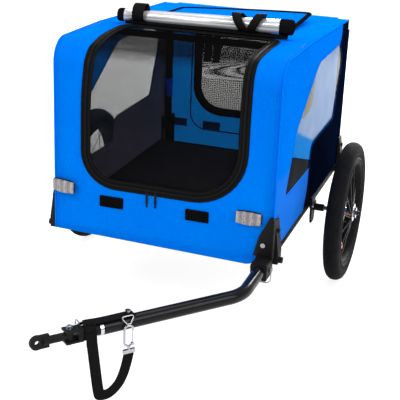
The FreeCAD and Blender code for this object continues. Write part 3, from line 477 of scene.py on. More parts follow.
def sewn(name, cut, place, mats, thick, flip=False, outer=None, inner=None):
    """A cut of cloth set in space; place gives a point from u, v, the distance to the edge and the depth."""
    points, faces, dist = cut
    n = len(points)
    verts = [place(u, v, d, 0.0) for (u, v), d in zip(points, dist)]
    verts += [place(u, v, d, thick) for (u, v), d in zip(points, dist)]
    tris = [f[::-1] for f in faces] if flip else list(faces)
    count = {}
    for k, f in enumerate(tris):
        for a, b in zip(f, f[1:] + f[:1]):
            count[(a, b)] = k
    rim = [(a, b) for a, b in count if (b, a) not in count]
    allf = tris + [tuple(i + n for i in reversed(f)) for f in tris] + [(b, a, a + n, b + n) for a, b in rim]
    obj = new_piece(name, verts, allf, mats, list(points) * 2)
    middle = [(sum(points[i][0] for i in f) / 3, sum(points[i][1] for i in f) / 3) for f in tris]
    front = [outer(u, v) if outer else 0 for u, v in middle]
    back = [inner(u, v) if inner else s for (u, v), s in zip(middle, front)]
    obj.data.polygons.foreach_set("material_index", front + back + [front[count[e]] for e in rim])
    obj.data.update()
    return obj


def quads(a, b, n, closed=True):
    """Faces between two rows of n points, numbered from a and from b."""
    return [(a + i, a + (i + 1) % n, b + (i + 1) % n, b + i) for i in range(n if closed else n - 1)]


def ring_strip(name, lines, mats, closed=True, uv_across=0.003):
    """A skin over lines of equal length laid side by side; the first and last lines close on each other."""
    n, m = len(lines[0]), len(lines)
    verts = [p for line in lines for p in line]
    run = [0.0]
    for p, q in zip(lines[0], lines[0][1:]):
        run.append(run[-1] + (Vector(q) - Vector(p)).length)
    uvs = [(run[i], j * uv_across) for j in range(m) for i in range(n)]
    faces = []
    for j in range(m):
        faces += quads(j * n, (j + 1) % m * n, n, closed)
    if not closed:
        faces.append(tuple(j * n for j in range(m)))
        faces.append(tuple(j * n + n - 1 for j in reversed(range(m))))
    return outward(new_piece(name, verts, faces, mats, uvs))


def outward(obj):
    """Faces of a closed skin turned outwards."""
    work = bmesh.new()
    work.from_mesh(obj.data)
    bmesh.ops.recalc_face_normals(work, faces=work.faces)
    work.to_mesh(obj.data)
    work.free()
    return obj


def sweep(name, path, section, mat, closed, looks, uv_across=0.003):
    """A section drawn along a line; its points lie across the line and along the way its face looks."""
    pts = [Vector(p) for p in path]
    n = len(pts)
    lines = [[] for _ in section]
    face = None
    for i, p in enumerate(pts):
        ahead, behind = (i + 1) % n if closed else min(i + 1, n - 1), i - 1 if closed else max(i - 1, 0)
        run = (pts[ahead] - pts[behind]).normalized()
        face = Vector(looks[i]) if looks else face or run.orthogonal()
        face = (face - run * run.dot(face)).normalized()
        side = run.cross(face)
        for line, (o, q) in zip(lines, section):
            line.append(p + side * o + face * q)
    return ring_strip(name, lines, [mat], closed, uv_across)


def tube(name, path, r, mat, closed=False, sides=10, flat=1.0, looks=None):
    """A round or flattened tube along a line of points."""
    section = [(r * math.sin(a), r * flat * math.cos(a)) for a in circle(sides)]
    return sweep(name, path, section, mat, closed, looks)


def ribbon(name, path, looks, width, thick, mat):
    """Flat webbing along a line of points."""
    w, t = width / 2, thick / 2
    section = [(-w, -t * .4), (-w, t * .4), (-w * .94, t), (-w * .5, t * .9), (w * .5, t * .9), (w * .94, t)]
    section += [(-o, -q) for o, q in section]
    return sweep(name, path, section, mat, False, looks, 0.004)


def worked_mesh(obj):
    """A plain mesh of a curve, or of a piece with its modifiers worked in."""
    graph = bpy.context.evaluated_depsgraph_get()
    return bpy.data.meshes.new_from_object(obj.evaluated_get(graph), depsgraph=graph)


def row_tree(name, shape):
    """Nodes that set out one small shape at an even pitch along every line of a piece."""
    tree = bpy.data.node_groups.new(name, "GeometryNodeTree")
    for socket, kind in (("Geometry", "Geometry"), ("Pitch", "Float"), ("Size", "Vector"),
                         ("Finish", "Material")):
        tree.interface.new_socket(socket, in_out="INPUT", socket_type="NodeSocket" + kind)
    tree.interface.new_socket("Geometry", in_out="OUTPUT", socket_type="NodeSocketGeometry")

    def add(kind, sockets=None, **props):
        return add_node(tree, kind, sockets, **props).outputs

    given = add("NodeGroupInput")
    line = add("GeometryNodeMeshToCurve", {"Mesh": given["Geometry"]})
    even = add("GeometryNodeResampleCurve", {"Curve": line["Curve"], "Length": given["Pitch"]}, mode="LENGTH")
    run = add("GeometryNodeInputTangent")
    up = add("GeometryNodeInputNamedAttribute", {"Name": "face_up"}, data_type="FLOAT_VECTOR")
    first = add("FunctionNodeAlignRotationToVector", {"Vector": run["Tangent"]}, axis="X")
    second = add("FunctionNodeAlignRotationToVector",
                 {"Rotation": first["Rotation"], "Vector": up["Attribute"]}, axis="Z", pivot_axis="X")
    if shape == "block":
        unit = add("GeometryNodeMeshCube")
    else:
        unit = add("GeometryNodeMeshUVSphere", {"Segments": 8, "Rings": 4, "Radius": 0.5})
    spread = add("GeometryNodeInstanceOnPoints", {"Points": even["Curve"], "Instance": unit["Mesh"],
                                                  "Rotation": second["Rotation"], "Scale": given["Size"]})
    real = add("GeometryNodeRealizeInstances", {"Geometry": spread["Instances"]})
    paint = add("GeometryNodeSetMaterial", {"Geometry": real["Geometry"], "Material": given["Finish"]})
    add("NodeGroupOutput", {"Geometry": paint["Geometry"]})
    return tree


BEADS = row_tree("row_of_beads", "bead")
BLOCKS = row_tree("row_of_blocks", "block")


def row(name, lines, tree, pitch, size, mat):
    """Small shapes along lines; each line is its points, the way its face looks, and whether it closes."""
    verts, edges, ups = [], [], []
    for pts, normals, closed in lines:
        first, n = len(verts), len(pts)
        verts += [tuple(p) for p in pts]
        ups += [tuple(v) for v in normals]
        edges += [(first + i, first + (i + 1) % n) for i in range(n if closed else n - 1)]
    mesh = bpy.data.meshes.new(name)
    mesh.from_pydata(verts, edges, [])
    layer = mesh.attributes.new("face_up", "FLOAT_VECTOR", "POINT")
    layer.data.foreach_set("vector", [c for v in ups for c in v])
    obj = add_object(name, mesh)
    mod = obj.modifiers.new("row", "NODES")
    mod.node_group = tree
    ids = {s.name: s.identifier for s in tree.interface.items_tree if s.in_out == "INPUT"}
    mod[ids["Pitch"]] = pitch
    mod[ids["Size"]] = size
    mod[ids["Finish"]] = mat
    made = worked_mesh(obj)
    obj.modifiers.clear()
    obj.data = made
    if tree == BEADS:
        made.shade_smooth()
    else:
        made.shade_flat()
    return obj


def put_on(obj, body, slot, *nodes):
    """Says which body a piece rides on and which solids it stands for; slot is not used."""
    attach(obj, body)
    if nodes:
        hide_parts(*nodes)
    return obj


def sewn_line(line, at, up, out):
    """A closed line on a sheet and the ways the sheet looks along it."""
    return [at(x, s, out) for x, s in line], [up(s) for x, s in line], True


def stitches(name, lines, mat, body, slot):
    return put_on(row(name, lines, BEADS, 0.0042, (0.0030, 0.0008, 0.0008), mat), body, slot)


def ripple(u, v, seed, size=0.09):
    return noise.noise(Vector((u / size, v / size, seed)))


def cloth(name, cut, place, mats, thick, body, slot, nodes=(), held="stretched", rests=(), **faces):
    """A sewn sheet with what it rides on, the solid it stands for and its flat cut."""
    obj = put_on(sewn(name, cut, place, mats, thick, **faces), body, slot, *nodes)
    return obj


def collapses(obj):
    """Gives a soft piece between the hoops a mesh of its own."""
    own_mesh(obj)


def grown(ring, by):
    """A closed ring pushed outwards."""
    pts = np.array(ring)
    area = (pts[:, 0] * np.roll(pts[:, 1], -1) - np.roll(pts[:, 0], -1) * pts[:, 1]).sum()
    run = np.roll(pts, -1, 0) - np.roll(pts, 1, 0)
    run /= np.linalg.norm(run, axis=1)[:, None]
    out = np.stack([run[:, 1], -run[:, 0]], 1) * (by if area > 0 else -by)
    return [tuple(p) for p in pts + out]


def unique(ring, gap=0.0008):
    """A closed ring without points that lie on each other."""
    out = []
    for p in ring:
        if not out or math.dist(p, out[-1]) > gap:
            out.append(p)
    if math.dist(out[0], out[-1]) <= gap:
        out.pop()
    return out


def cut_line(corners, step, arc=7):
    """A rounded outline with evenly close points, ready to be cut."""
    return unique(filled(unique(rounded(corners, arc)), step))


def both_sides(corners):
    """A closed outline from its right half, lowest corner first."""
    return corners + [(-x, y, r) for x, y, r in reversed(corners)]


def box_ring(x0, x1, y0, y1, r, step):
    return filled(rounded([(x0, y0, r), (x1, y0, r), (x1, y1, r), (x0, y1, r)]), step)


def circle(n):
    """The angles of n points set evenly round a circle."""
    return [2 * math.pi * k / n for k in range(n)]


# Front sheet: up from the hem, over the round corner and back along the roof
def front_line(s):
    turn = min(max((s - RISE) / CORNER_R, 0.0), math.pi / 2)
    low, back = min(s, RISE), max(s - RISE - CORNER_R * math.pi / 2, 0.0)
    y = FRONT_Y + CORNER_R * (1 - math.cos(turn)) + back
    return y, HEM + low + CORNER_R * math.sin(turn), -math.cos(turn), math.sin(turn)


def corner_slack(x, s):
    """Between the hoop's tubes the front sheet cuts the bend's corner, most of all on the left."""
    near = min(max((HALF - abs(x) - 0.018) / 0.052, 0.0), 1.0)
    deep = 0.027 - 0.021 * (x + HALF) / (2 * HALF)
    return deep * near * near * (3 - 2 * near) * math.exp(-((s - RISE - 0.045) / 0.085) ** 2)


def front_at(x, s, out):
    y, z, ny, nz = front_line(s)
    out -= corner_slack(x, s)
    return Vector((x, y + ny * out, z + nz * out))


def front_up(s):
    return Vector((0, *front_line(s)[2:]))


def rear_at(x, h, out):
    return Vector((x, REAR_Y + out, HEM + h))


def side_at(s, d, h, out):
    return Vector((s * (HALF + out), FRONT_Y + d, HEM + h))


def roof_z(d):
    return HEM + ROOF_FRONT - (ROOF_FRONT - ROOF_REAR) * max(0.0, d - ROOF_SEAM) / (LENGTH - ROOF_SEAM)


FRONT_DOOR = (DOOR_HALF, DOOR_LOW, DOOR_TOP, DOOR_R, 0.045, 0.142)
REAR_DOOR = (REAR_HALF, REAR_LOW, REAR_TOP, DOOR_R, DOOR_R / 2)
BAND = [(0.0, -0.0014), (0.0, 0.0012), (0.0018, 0.0024), (0.0090, 0.0022), (0.0108, 0.0010), (0.0118, 0.0010),
        (0.0124, 0.0030), (0.0146, 0.0030), (0.0152, 0.0010), (0.0162, 0.0010), (0.0180, 0.0022),
        (0.0252, 0.0024), (0.0270, 0.0012), (0.0270, -0.0014)]


def door_set(side, door, at, up, body):
    """Zip band with its teeth and seams, and the net inside it."""
    lines = [[at(x, s, out) for x, s in door_line(*door, inset=i)] for i, out in BAND]
    put_on(ring_strip(side + "_zip_band", lines, [TAPE]), body, "zip_tape", side + "_door_zip")
    mid = sewn_line(door_line(*door, inset=0.0135), at, up, 0.0030)
    teeth = row(side + "_zip_teeth", [mid], BLOCKS, 0.0026, (0.0015, 0.0058, 0.0014), PLASTIC)
    put_on(teeth, body, "zip_tape")
    seams = [sewn_line(door_line(*door, inset=inset), at, up, 0.0025) for inset in (0.0035, 0.0235)]
    stitches(side + "_door_stitches", seams, THREAD, body, "zip_tape")
    cut = cut_cloth(door_line(*door, inset=0.0250), step=0.016)

    def slack(x, s, d, depth):
        give = 0.0035 * (1 - math.exp(-d / 0.07)) + 0.0010 * ripple(x, s, 7.0, 0.16) * min(1, d / 0.05)
        return at(x, s, -0.0006 - give - depth)

    cloth(side + "_door_net", cut, slack, [NET], NET_THICK, body, "mesh", [side + "_door_mesh"],
          flip=side == "rear")


def hem_sag(x, s):
    """The front hem hangs lower towards the tow bar's side and is drawn up again at the socket."""
    low = 0.0118 * max(0.0, min((x + HALF) / 0.530, (0.258 - x) / 0.022))
    return UP * (low * max(0.0, 1 - s / 0.09))


def front():
    ring = filled([(-HALF, 0.0), (HALF, 0.0), (HALF, FRONT_RUN), (-HALF, FRONT_RUN)], 0.011)
    cut = cut_cloth(ring, [door_line(*FRONT_DOOR, inset=0.005)], 0.011)

    def sagged(x, s, out):
        return front_at(x, s, out) - hem_sag(x, s)

    def taut(x, s, d, depth):
        ease = min(1.0, d / 0.05)
        return sagged(x, s, 0.0012 * ease + 0.0008 * ripple(x, s, 1.0) * ease - depth)

    cloth("front_cloth", cut, taut, [BLUE, BLUE_INSIDE_LIT], CLOTH_THICK, "front_hoop", "blue_cloth", ["front_panel"],
          inner=lambda u, v: 1)
    seams = []
    for off in (0.007, 0.012):
        x0, top = HALF - off, FRONT_RUN - off
        line = filled([(-x0, off), (x0, off), (x0, top), (-x0, top)], 0.02)
        seams.append(sewn_line(line, sagged, front_up, 0.0007))
    stitches("front_stitches", seams, BLUE_THREAD, "front_hoop", "blue_cloth")
    door_set("front", FRONT_DOOR, front_at, front_up, "front_hoop")
    for side in ("left", "right"):
        low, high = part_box("zip_pull_" + side)
        x, y = (low[0] + high[0]) / 2, (low[1] + high[1]) / 2
        drop = [(x, y, low[2] + dz) for dz in (.004, .001, -.005, -.0095, -.0105)]
        put_on(tube("zip_pull_tip_" + side, drop, 0.0022, PLASTIC), "zip_" + side, "moulding")


MARGIN_X, MARGIN_TOP = .262, .112


def rear():
    ring = both_sides([(HALF, 0.0, 0.001), (HALF, .448, .004), (.258, .448, .008),
                       (.258, ROOF_REAR - 0.003, .004)])
    seams = [filled([(k * MARGIN_X, .001), (k * MARGIN_X, MARGIN_TOP), (k * (HALF - .001), MARGIN_TOP)],
                    .011, False) for k in (-1, 1)]
    cut = cut_cloth(cut_line(ring, 0.012), [door_line(*REAR_DOOR, inset=0.005)], 0.012, seams)

    def taut(x, h, d, depth):
        ease = min(1.0, d / 0.05)
        return rear_at(x, h, 0.0010 * ease + 0.0008 * ripple(x, h, 3.0) * ease - depth)

    def margin(x, h):
        return 2 if abs(x) > MARGIN_X and h < MARGIN_TOP else 0

    cloth("rear_cloth", cut, taut, [BLUE, BLUE_INSIDE_LIT, NAVY], CLOTH_THICK, "rear_hoop", "blue_cloth",
          ["rear_panel"], flip=True, outer=margin, inner=lambda x, h: margin(x, h) or 1)
    door_set("rear", REAR_DOOR, rear_at, lambda s: Vector((0, 1, 0)), "rear_hoop")
    # A dark blue line beside and below the rear door, through both faces of the sheet, in the painted
    # through-cloth shade colour.
    line = door_line(.208, .070, .452, .055, .045)[111:190]
    seam = tube("rear_dark_line", [rear_at(x, h, -0.0007) for x, h in line], 0.0019, PAINTED_THROUGH_SHADE, False, 8)
    put_on(seam, "rear_hoop", "blue_cloth")
    for k, x in enumerate((-.2807, .2807)):
        lines = [[Vector((x + r * math.cos(a), .6899 + r * math.sin(a), z)) for a in circle(24)]
                 for r, z in ((.0112, .372), (.0124, .372), (.0124, .431), (.0112, .431))]
        put_on(ring_strip("upright_sleeve_%d" % k, lines, [CORDING]), "rear_hoop", "blue_cloth")


def grip_patches_and_shade():
    """Hook-and-loop patches that hold the rain cover down on the front sheet; on the rear, the painted shade
    of such patches on the sheet's inside face.
    """
    for side, at, lift, puff, mat, thick, places in (
            ("front", front_at, 0.0032, 0.0006, PATCH, 0.0022,
             ((-.168, -.103, .081, .111), (.066, .128, .081, .111))),
            # The rear marks are painted shade: dark teal sheets on the rear sheet's inside face, where
            # patches outside block the light through the cloth.
            ("rear", rear_at, -0.0016, 0.0, PAINTED_THROUGH_SHADE, 0.0012,
             ((-.265, -.218, .074, .100), (-.163, -.103, .074, .100)))):
        for k, place in enumerate(places):
            cut = cut_cloth(box_ring(*place, 0.003, 0.006), (), 0.006)
            cloth("%s_grip_patch_%d" % (side, k), cut, lambda x, s, d, depth: at(
                x, s, lift + puff * min(1, d / 0.004) - depth), [mat], thick, side + "_hoop", "black_cloth",
                held="laid", rests=[side + "_cloth"], flip=side == "rear")


def edge_piping():
    """Piping sewn along the front sheet's two long edges and along the roof's."""
    for k, s in enumerate((-1, 1)):
        up_front = [front_at(s * HALF, t, 0.0002) for t in np.linspace(0.0, FRONT_RUN, 90)]
        put_on(tube("front_piping_%d" % k, up_front, 0.0021, CORDING, sides=8), "front_hoop", "blue_cloth")
        along = [Vector((s * (HALF - 0.0002), FRONT_Y + d, roof_z(d) - 0.0004))
                 for d in np.linspace(ROOF_SEAM + 0.001, 0.786, 40)]
        pipe = tube("roof_piping_%d" % k, along, 0.0021, CORDING, sides=8)
        collapses(put_on(pipe, "chassis", "blue_cloth"))


# Side walls
NAVY_PART = [(.335, .020), (.367, .136), (.374, .206), (.645, .215), (.708, .365), (.676, .420), (.696, .490),
             (.82, .49), (.82, .02)]


def side_wall(name, s):
    top = ROOF_FRONT - 0.0023
    ring = [(.041, .024, .002), (.773, .024, .002), (.773, .106, .002), (.8117, .106, .002),
            (.8117, .448, .004), (.788, .448, .008), (.788, ROOF_REAR - .0012, .004), (.285, top, .02),
            (.0023, top, .0557), (.0023, .106, .002), (.041, .106, .002)]
    hole = cut_line(WINDOW, 0.011, 9)
    seams = [filled([(.336, .025), (.367, .1355)], .011, False)[:-1],
             filled([(.684, .4295), (.694, .4815)], .011, False)]
    cut = cut_cloth(cut_line(ring, 0.011), [hole], 0.011, seams)

    def wall(d, h, e, depth):
        ease = min(1.0, e / 0.05)
        return side_at(s, d, h, 0.0022 * ease + 0.0014 * ripple(d, h, 5.0 + s) * ease - depth)

    def navy(d, h):
        return int(inside([(d, h)], NAVY_PART)[0])

    panel = cloth("side_cloth_" + name, cut, wall, [BLUE, NAVY, LINING, BLUE_INSIDE_LIT], CLOTH_THICK, "chassis",
                  "blue_cloth", ["side_panel_" + name], flip=s < 0, outer=navy,
                  inner=lambda d, h: 2 if h < 0.21 or navy(d, h) else 3)
    collapses(panel)
    line = grown(hole, 0.004)
    seam = ([side_at(s, d, h, 0.0006) for d, h in line], [Vector((s, 0, 0))] * len(line), True)
    collapses(stitches("window_stitches_" + name, [seam], BLUE_THREAD, "chassis", "blue_cloth"))
    film_cut = cut_cloth(grown(hole, 0.0055), step=0.014)

    def bulge(d, h, e, depth):
        belly = 0.0032 * (1 - math.exp(-max(0, e - 0.006) / 0.03))
        crease = 0.0016 * ripple(d, h, 9.0 + s, 0.07) * min(1, e / 0.03)
        return side_at(s, d, h, -0.0020 + belly + crease - depth)

    film = cloth("window_film_" + name, film_cut, bulge, [FILM if s > 0 else CLEAR_FILM], FILM_THICK,
                 "chassis", "window", ["side_windows"] if s > 0 else (), flip=s < 0)
    collapses(film)


# Roof, flap and rolled rain cover
def roof():
    ring = both_sides([(HALF - .001, ROOF_SEAM + .0003, .0015), (HALF - .001, .788, .004),
                       (.258, .788, .008), (.258, LENGTH, .004)])
    cut = cut_cloth(cut_line(ring, 0.012))

    def laid(x, d, e, depth):
        ease = min(1.0, e / 0.06)
        sag = 0.0012 * ripple(x, d, 11.0, 0.12) * ease - 0.0015 * ease
        return Vector((x, FRONT_Y + d, roof_z(d) + sag - depth))

    collapses(cloth("roof_cloth", cut, laid, [BLUE, BLUE_INSIDE_LIT], CLOTH_THICK, "chassis", "blue_cloth",
                    ["roof_panel"], inner=lambda u, v: 1))
    x0, d0, d1 = 0.198, 0.318, 0.680
    ring = box_ring(-x0, x0, d0, d1, 0.012, 0.012)
    cut = cut_cloth(ring)

    def flap_at(x, d, under):
        back = max(0.0, (d - 0.36) / 0.32)
        across = (1 - (x / x0) ** 2) * (1 - 0.8 * back)
        lift = 0.0195 * back ** 1.5 * (x + x0) / (2 * x0)
        z = roof_z(d) + 0.0022 + 0.009 * across + lift + 0.0012 * ripple(x, d, 13.0, 0.1) * across
        return Vector((x, FRONT_Y + d, z - under))

    collapses(cloth("rain_cover_flap", cut, lambda x, d, e, depth: flap_at(x, d, depth), [BLUE], CLOTH_THICK,
                    "chassis", "blue_cloth", ["roof_flap"], held="laid", rests=["roof_cloth"]))
    line = [flap_at(x, d, 0.0006) for x, d in unique(ring)]
    edge = tube("flap_binding", line, 0.0072, PIPING, True, 10, 0.62, [UP] * len(line))
    collapses(put_on(edge, "chassis", "black_cloth"))


ROLL_Y, ROLL_Z, ROLL_HALF = FRONT_Y + 0.287, HEM + 0.5281, 0.244
ROLL_SHAPE = [(-.244, .0120), (-.2425, .0165), (-.238, .0190), (-.222, .0196), (-.210, .0175), (-.203, .0142),
              (-.190, .0150), (-.150, .0168), (-.060, .0174), (.060, .0182), (.205, .0196), (.2085, .0208),
              (.2120, .0214), (.238, .0212), (.2425, .0190), (.244, .0150)]
ROLL_EDGE = math.radians(200)


def roll_radius(x):
    return float(np.interp(x, *zip(*ROLL_SHAPE)))


def roll_at(x, angle, r):
    """A point about the roll's middle line, which climbs a little to the right."""
    middle = ROLL_Z - 0.003 + 0.010 * (x + ROLL_HALF) / (2 * ROLL_HALF)
    return Vector((x, ROLL_Y + r * math.cos(angle), middle + r * math.sin(angle)))


def rain_cover():
    """A wound sheet: a spiral along the roof, full at its dark bound ends and nipped in by the straps."""
    marks = sorted({x for x, r in ROLL_SHAPE} | set(np.linspace(-.24, .24, 80)))
    sides = 48
    turns = circle(sides)
    verts, faces, uvs = [], [], []
    for x in marks:
        nip = sum(0.0012 * math.exp(-((x - c) / 0.014) ** 2) for c in (-.179, .105, .140))
        for k, a in enumerate(turns):
            r = roll_radius(x) - nip - 0.0020 * k / sides
            r += 0.0011 * noise.noise(Vector((x * 11, math.cos(a) * 1.6, math.sin(a) * 1.6)))
            verts.append(roll_at(x, a + ROLL_EDGE, r))
            uvs.append((x, a * 0.02))
    n = len(marks)
    for j in range(n - 1):
        faces += quads(j * sides, (j + 1) * sides, sides)
    for j in (0, n - 1):
        rim = j * sides
        for m in range(1, 6):
            faces += quads(rim, len(verts), sides)
            rim = len(verts)
            sunk = marks[j] - math.copysign(0.0022 if m % 2 else 0.0002, marks[j])
            for k, a in enumerate(turns):
                r = roll_radius(marks[j]) * (1 - m / 6.0) - 0.0016 * k / sides * (m < 5)
                verts.append(roll_at(sunk, a + ROLL_EDGE, max(r, 0.001)))
                uvs.append((marks[j], a * 0.02))
        faces.append(tuple(range(rim, rim + sides)))
    roll = outward(new_piece("rain_cover", verts, faces, [ROLLED, PIPING], uvs))
    ends = [int(f.center.x > 0.2078 or f.center.x < -0.224) for f in roll.data.polygons]
    roll.data.polygons.foreach_set("material_index", ends)
    put_on(roll, "front_hoop", "window", "rain_cover_roll")
    # A flattened black tube along the roof under the roll: it draws the dark line below the roll and gives
    # the roll a bed to rest on.
    line = [(x, ROLL_Y - 0.004, HEM + ROOF_FRONT + 0.0070) for x in np.linspace(-.218, .228, 60)]
    bed = tube("dark_band_under_roll", line, 0.0125, PIPING, False, 12, 0.46, [UP] * len(line))
    put_on(bed, "front_hoop", "black_cloth")
    t = 0.0015
    for k, (x, lean, w, r0, rise) in enumerate((
            (-.179, .001, .0165, .0245, .0075), (.105, -.015, .0130, .0240, .0030),
            (.142, .014, .0130, .0252, .0030))):
        section = [(-w, 0), (-w, t), (-w / 3, t + .0003), (w / 3, t + .0003), (w, t), (w, 0)]
        lines = [[roll_at(x + lean * math.sin(a) + o, a, r0 + up) + UP * rise for a in circle(56)]
                 for o, up in section]
        loop = ring_strip("roll_strap_%d" % k, lines, [STRAP], True, 0.005)
        put_on(loop, "front_hoop", "black_cloth", *(() if k else ("roll_straps",)))
    for k, x in enumerate((0.016, 0.040)):
        top = HEM + ROOF_FRONT - 0.006
        drop = [(x + 0.003 * math.sin(j / 7), FRONT_Y + 0.281 - 0.0005 * j, top - 0.0042 * j)
                for j in range(18)]
        tail = ribbon("strap_end_%d" % k, drop, [(0, -1, 0.1)] * len(drop), 0.021, 0.0018, STRAP)
        put_on(tail, "front_hoop", "black_cloth")


def cabin_floor():
    low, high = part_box("floor_panel")
    half, step = .2912, low[1] + .07
    ring = both_sides([(.262, low[1], .004), (.262, step, .004), (half, step, .004), (half, high[1], .004)])
    cut = cut_cloth(cut_line(ring, .010), (), .010)

    def laid(x, y, e, depth):
        return Vector((x, y, high[2] + 0.0075 * math.exp((abs(x) - half) / 0.005) - depth))

    mat = sewn("floor_mat", cut, laid, [FLOOR_CLOTH], 0.0045)
    put_on(mat, "chassis", "black_cloth", "floor_panel")


# Tow bar webbing and the safety strap
def bar_at(t, n, h):
    """A point on the tow bar's second run, from millimetres along, across and above it."""
    return BEND + ALONG * (t / 1000) + ACROSS * (n / 1000) + UP * (h / 1000)


def smooth_line(points, name):
    """Points read from a smooth curve that has the given control points."""
    data = bpy.data.curves.new(name, "CURVE")
    data.dimensions = "3D"
    spline = data.splines.new("NURBS")
    spline.points.add(len(points) - 1)
    for knot, p in zip(spline.points, points):
        knot.co = (*p, 1.0)
    spline.order_u = 3
    spline.use_endpoint_u = True
    spline.resolution_u = 14
    guide = add_object(name, data)
    made = worked_mesh(guide)
    line = [v.co.copy() for v in made.vertices]
    bpy.data.objects.remove(guide)
    bpy.data.meshes.remove(made)
    return line


# The strap beside the bar and on top of it, in millimetres along the bar and above its middle
STRAP_N = 21.0
STRAP_ROUTE = [(391, -22), (381, -108), (376, -143), (373, -152), (346, -153), (314, -118), (304, -64)]
STRAP_TOP = [(283, 18.6), (300, 18.8), (340, 18.4), (372, 19.0), (385, 20.6), (399, 20.8)]


def safety_strap():
    line = smooth_line([bar_at(t, STRAP_N, h) for t, h in STRAP_ROUTE], "strap_route")
    strap = ribbon("hanging_strap", line, [ACROSS] * len(line), WEB_WIDE, WEB_THICK, STRAP)
    put_on(strap, "chassis", "black_cloth", "safety_strap")
    top = smooth_line([bar_at(t, 0, h) for t, h in STRAP_TOP], "strap_lay")
    laid = ribbon("strap_on_bar", top, [UP] * len(top), WEB_WIDE, WEB_THICK, STRAP)
    put_on(laid, "chassis", "black_cloth", "strap_loop")
    wrap = []
    for k in range(49):
        a = math.radians(150 - 330 * k / 48)
        wrap.append((Vector((math.cos(a), math.sin(a))), 17.6 + 4.2 * max(0, math.sin(a)) ** 2))
    points = [bar_at(391 + 1.5 * math.sin(3 * k / 48), r * d.x, r * d.y) for k, (d, r) in enumerate(wrap)]
    looks = [ACROSS * d.x + UP * d.y for d, r in wrap]
    put_on(ribbon("strap_round_bar", points, looks, 0.026, WEB_THICK, STRAP), "chassis", "black_cloth")
    drop = [bar_at(391.5 - 0.02 * k, 18.9 + 0.10 * k, 4 - 1.6 * k) for k in range(20)]
    put_on(ribbon("strap_tail", drop, [ACROSS] * 20, 0.0252, 0.0024, STRAP), "chassis", "black_cloth")
    rows = [([bar_at(t, n, 20.0) for n in np.linspace(-10, 10, 8)], [UP] * 8, False) for t in (311, 315)]
    stitches("strap_stitches", rows, THREAD, "chassis", "black_cloth")


# Wheels
TYRE = [(.1550, .0128), (.1585, .0168), (.1640, .0203), (.1710, .0226), (.1780, .0229), (.1845, .0212),
        (.1895, .0176), (.1930, .0130), (.1951, .0078), (.1960, .0026)]
TREAD = [(.1964, 0, 0), (.1957, .0062, .18), (.1957, -.0062, -.18), (.1930, .0120, .6), (.1930, -.0120, -.6),
         (.1888, .0172, .95), (.1888, -.0172, -.95)]
NIPPLE_R, SPOKES = .1385, 20


def wheel(name, s):
    turns = circle(128)
    body = "wheel_" + name

    def spot(r, o, a):
        return Vector((s * WHEEL_X + o, AXLE_Y + r * math.cos(a), AXLE_Z + r * math.sin(a)))

    def turned(profile):
        return [[spot(r, o, a) for a in turns] for r, o in profile]

    def rim_look(a, lean=0.0):
        return Vector((math.sin(lean), math.cos(lean) * math.cos(a), math.cos(lean) * math.sin(a)))

    profile = [(r, -o) for r, o in TYRE] + TYRE[::-1]
    put_on(ring_strip("tyre_cover_" + name, turned(profile), [RUBBER]), body, "tyre", "tyre_" + name)
    rings = []
    for j, (r, o, lean) in enumerate(TREAD):
        shifted = [a + (j % 2) * math.pi / 145 for a in turns]
        rings.append(([spot(r, o, a) for a in shifted], [rim_look(a, lean) for a in shifted], True))
    put_on(row("tread_" + name, rings, BLOCKS, 0.0084, (0.0058, 0.0040, 0.0026), RUBBER), body, "tyre")
    box = [(.1412, -.0195), (.1502, -.0195), (.1502, .0195), (.1412, .0195), (.1392, .0165), (.1392, -.0165)]
    put_on(ring_strip("rim_well_" + name, turned(box), [RIM]), body, "rim")
    for k, line in enumerate(turned([(.1530, -.0185), (.1530, .0185)])):
        put_on(tube("rim_lip_%s_%d" % (name, k), line, 0.0048, RIM, True, 10, 0.8), body, "rim")
    line = ([spot(NIPPLE_R, 0, a) for a in turns], [rim_look(a) for a in turns], True)
    pitch = 2 * math.pi * NIPPLE_R / SPOKES
    nipples = row("nipples_" + name, [line], BEADS, pitch, (0.0048, 0.0048, 0.0085), SPOKE)
    put_on(nipples, body, "bright_steel")


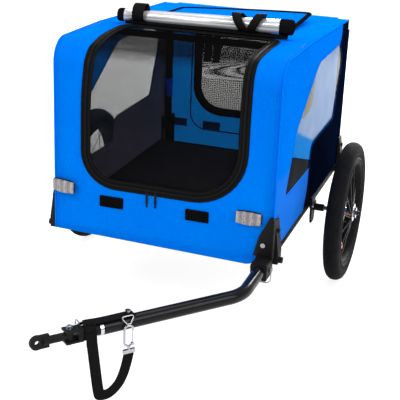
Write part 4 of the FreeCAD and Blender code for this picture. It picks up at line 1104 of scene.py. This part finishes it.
# Reflectors on the front
def front_reflectors():
    """Barrel-shaped lenses that stand off the cloth; the left one, on the corner, is turned outwards."""
    half = .0320
    section = [(-half, -.0004), (-half, -.0085), (-.0300, -.0098), (-.0115, -.0124), (-.0105, -.0112),
               (-.0095, -.0126), (0, -.0134)]
    section += [(-px, py) for px, py in section[-2::-1]]
    heights = [-.0172, -.0158, -.0130, .0, .0130, .0158, .0172]
    ease = [.66, .91, 1, 1, 1, .91, .66]
    for k, (x, z, turn) in enumerate(((-.2655, .1235, 0.17), (.2320, .113, 0.0))):
        def spot(px, out, h):
            y = FRONT_Y - (half + px) * math.sin(turn) + out * math.cos(turn)
            z_here = HEM + z + h * (1 - 0.14 * (px / half) ** 2)
            return Vector((x + px * math.cos(turn) + out * math.sin(turn), y, z_here))

        lines = [[spot(px, py * e if py < -.001 else py, h) for h, e in zip(heights, ease)]
                 for px, py in section]
        lens = ring_strip("reflector_lens_%d" % k, lines, [CLEAR_LENS], False)
        lens.data.shade_flat()
        put_on(lens, "front_hoop", "clear_reflector", *(() if k else ("front_reflectors",)))
        ring = [spot(px, -.0032, h) for px, h in unique(box_ring(-.0325, .0325, -.0172, .0172, .005, 0.008))]
        put_on(tube("reflector_frame_%d" % k, ring, 0.0017, PLASTIC, True, 8), "front_hoop", "moulding")


def solid_finishes():
    """Finishes of the rigid pieces that show as built."""
    finish = {
        PAINT: "tow_bar",
        DULL_PAINT: "base_side_tubes base_cross_tubes front_uprights front_crossbar rear_uprights "
                    "rear_crossbar axle_brackets",
        PLASTIC: "front_feet rear_feet front_top_corners rear_top_corners hitch_socket hitch_yoke coupler "
                 "release_button_left release_button_right zip_pull_left zip_pull_right zip_sliders "
                 "front_foot_bolts rear_foot_bolts",
        STEEL: "frame_bolts tow_pins hitch_pin_bail lock_pin_bail snap_hook snap_hook_gate strap_ring "
               "hub_bearings_left hub_bearings_right",
        SPOKE: "spokes_left spokes_right axles",
        CHROME: "hub_left hub_right tow_ferrule",
        RIM: "rim_left rim_right",
        AMBER_LENS: "wheel_reflector_left wheel_reflector_right",
    }
    for mat, names in finish.items():
        for n in names.split():
            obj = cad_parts[n]
            if not obj.material_slots:
                obj.data.materials.append(mat)
            for place in obj.material_slots:
                place.material = mat


front()
rear()
grip_patches_and_shade()
edge_piping()
side_wall("right", 1)
side_wall("left", -1)
roof()
rain_cover()
cabin_floor()
safety_strap()
wheel("right", 1)
wheel("left", -1)
front_reflectors()
solid_finishes()
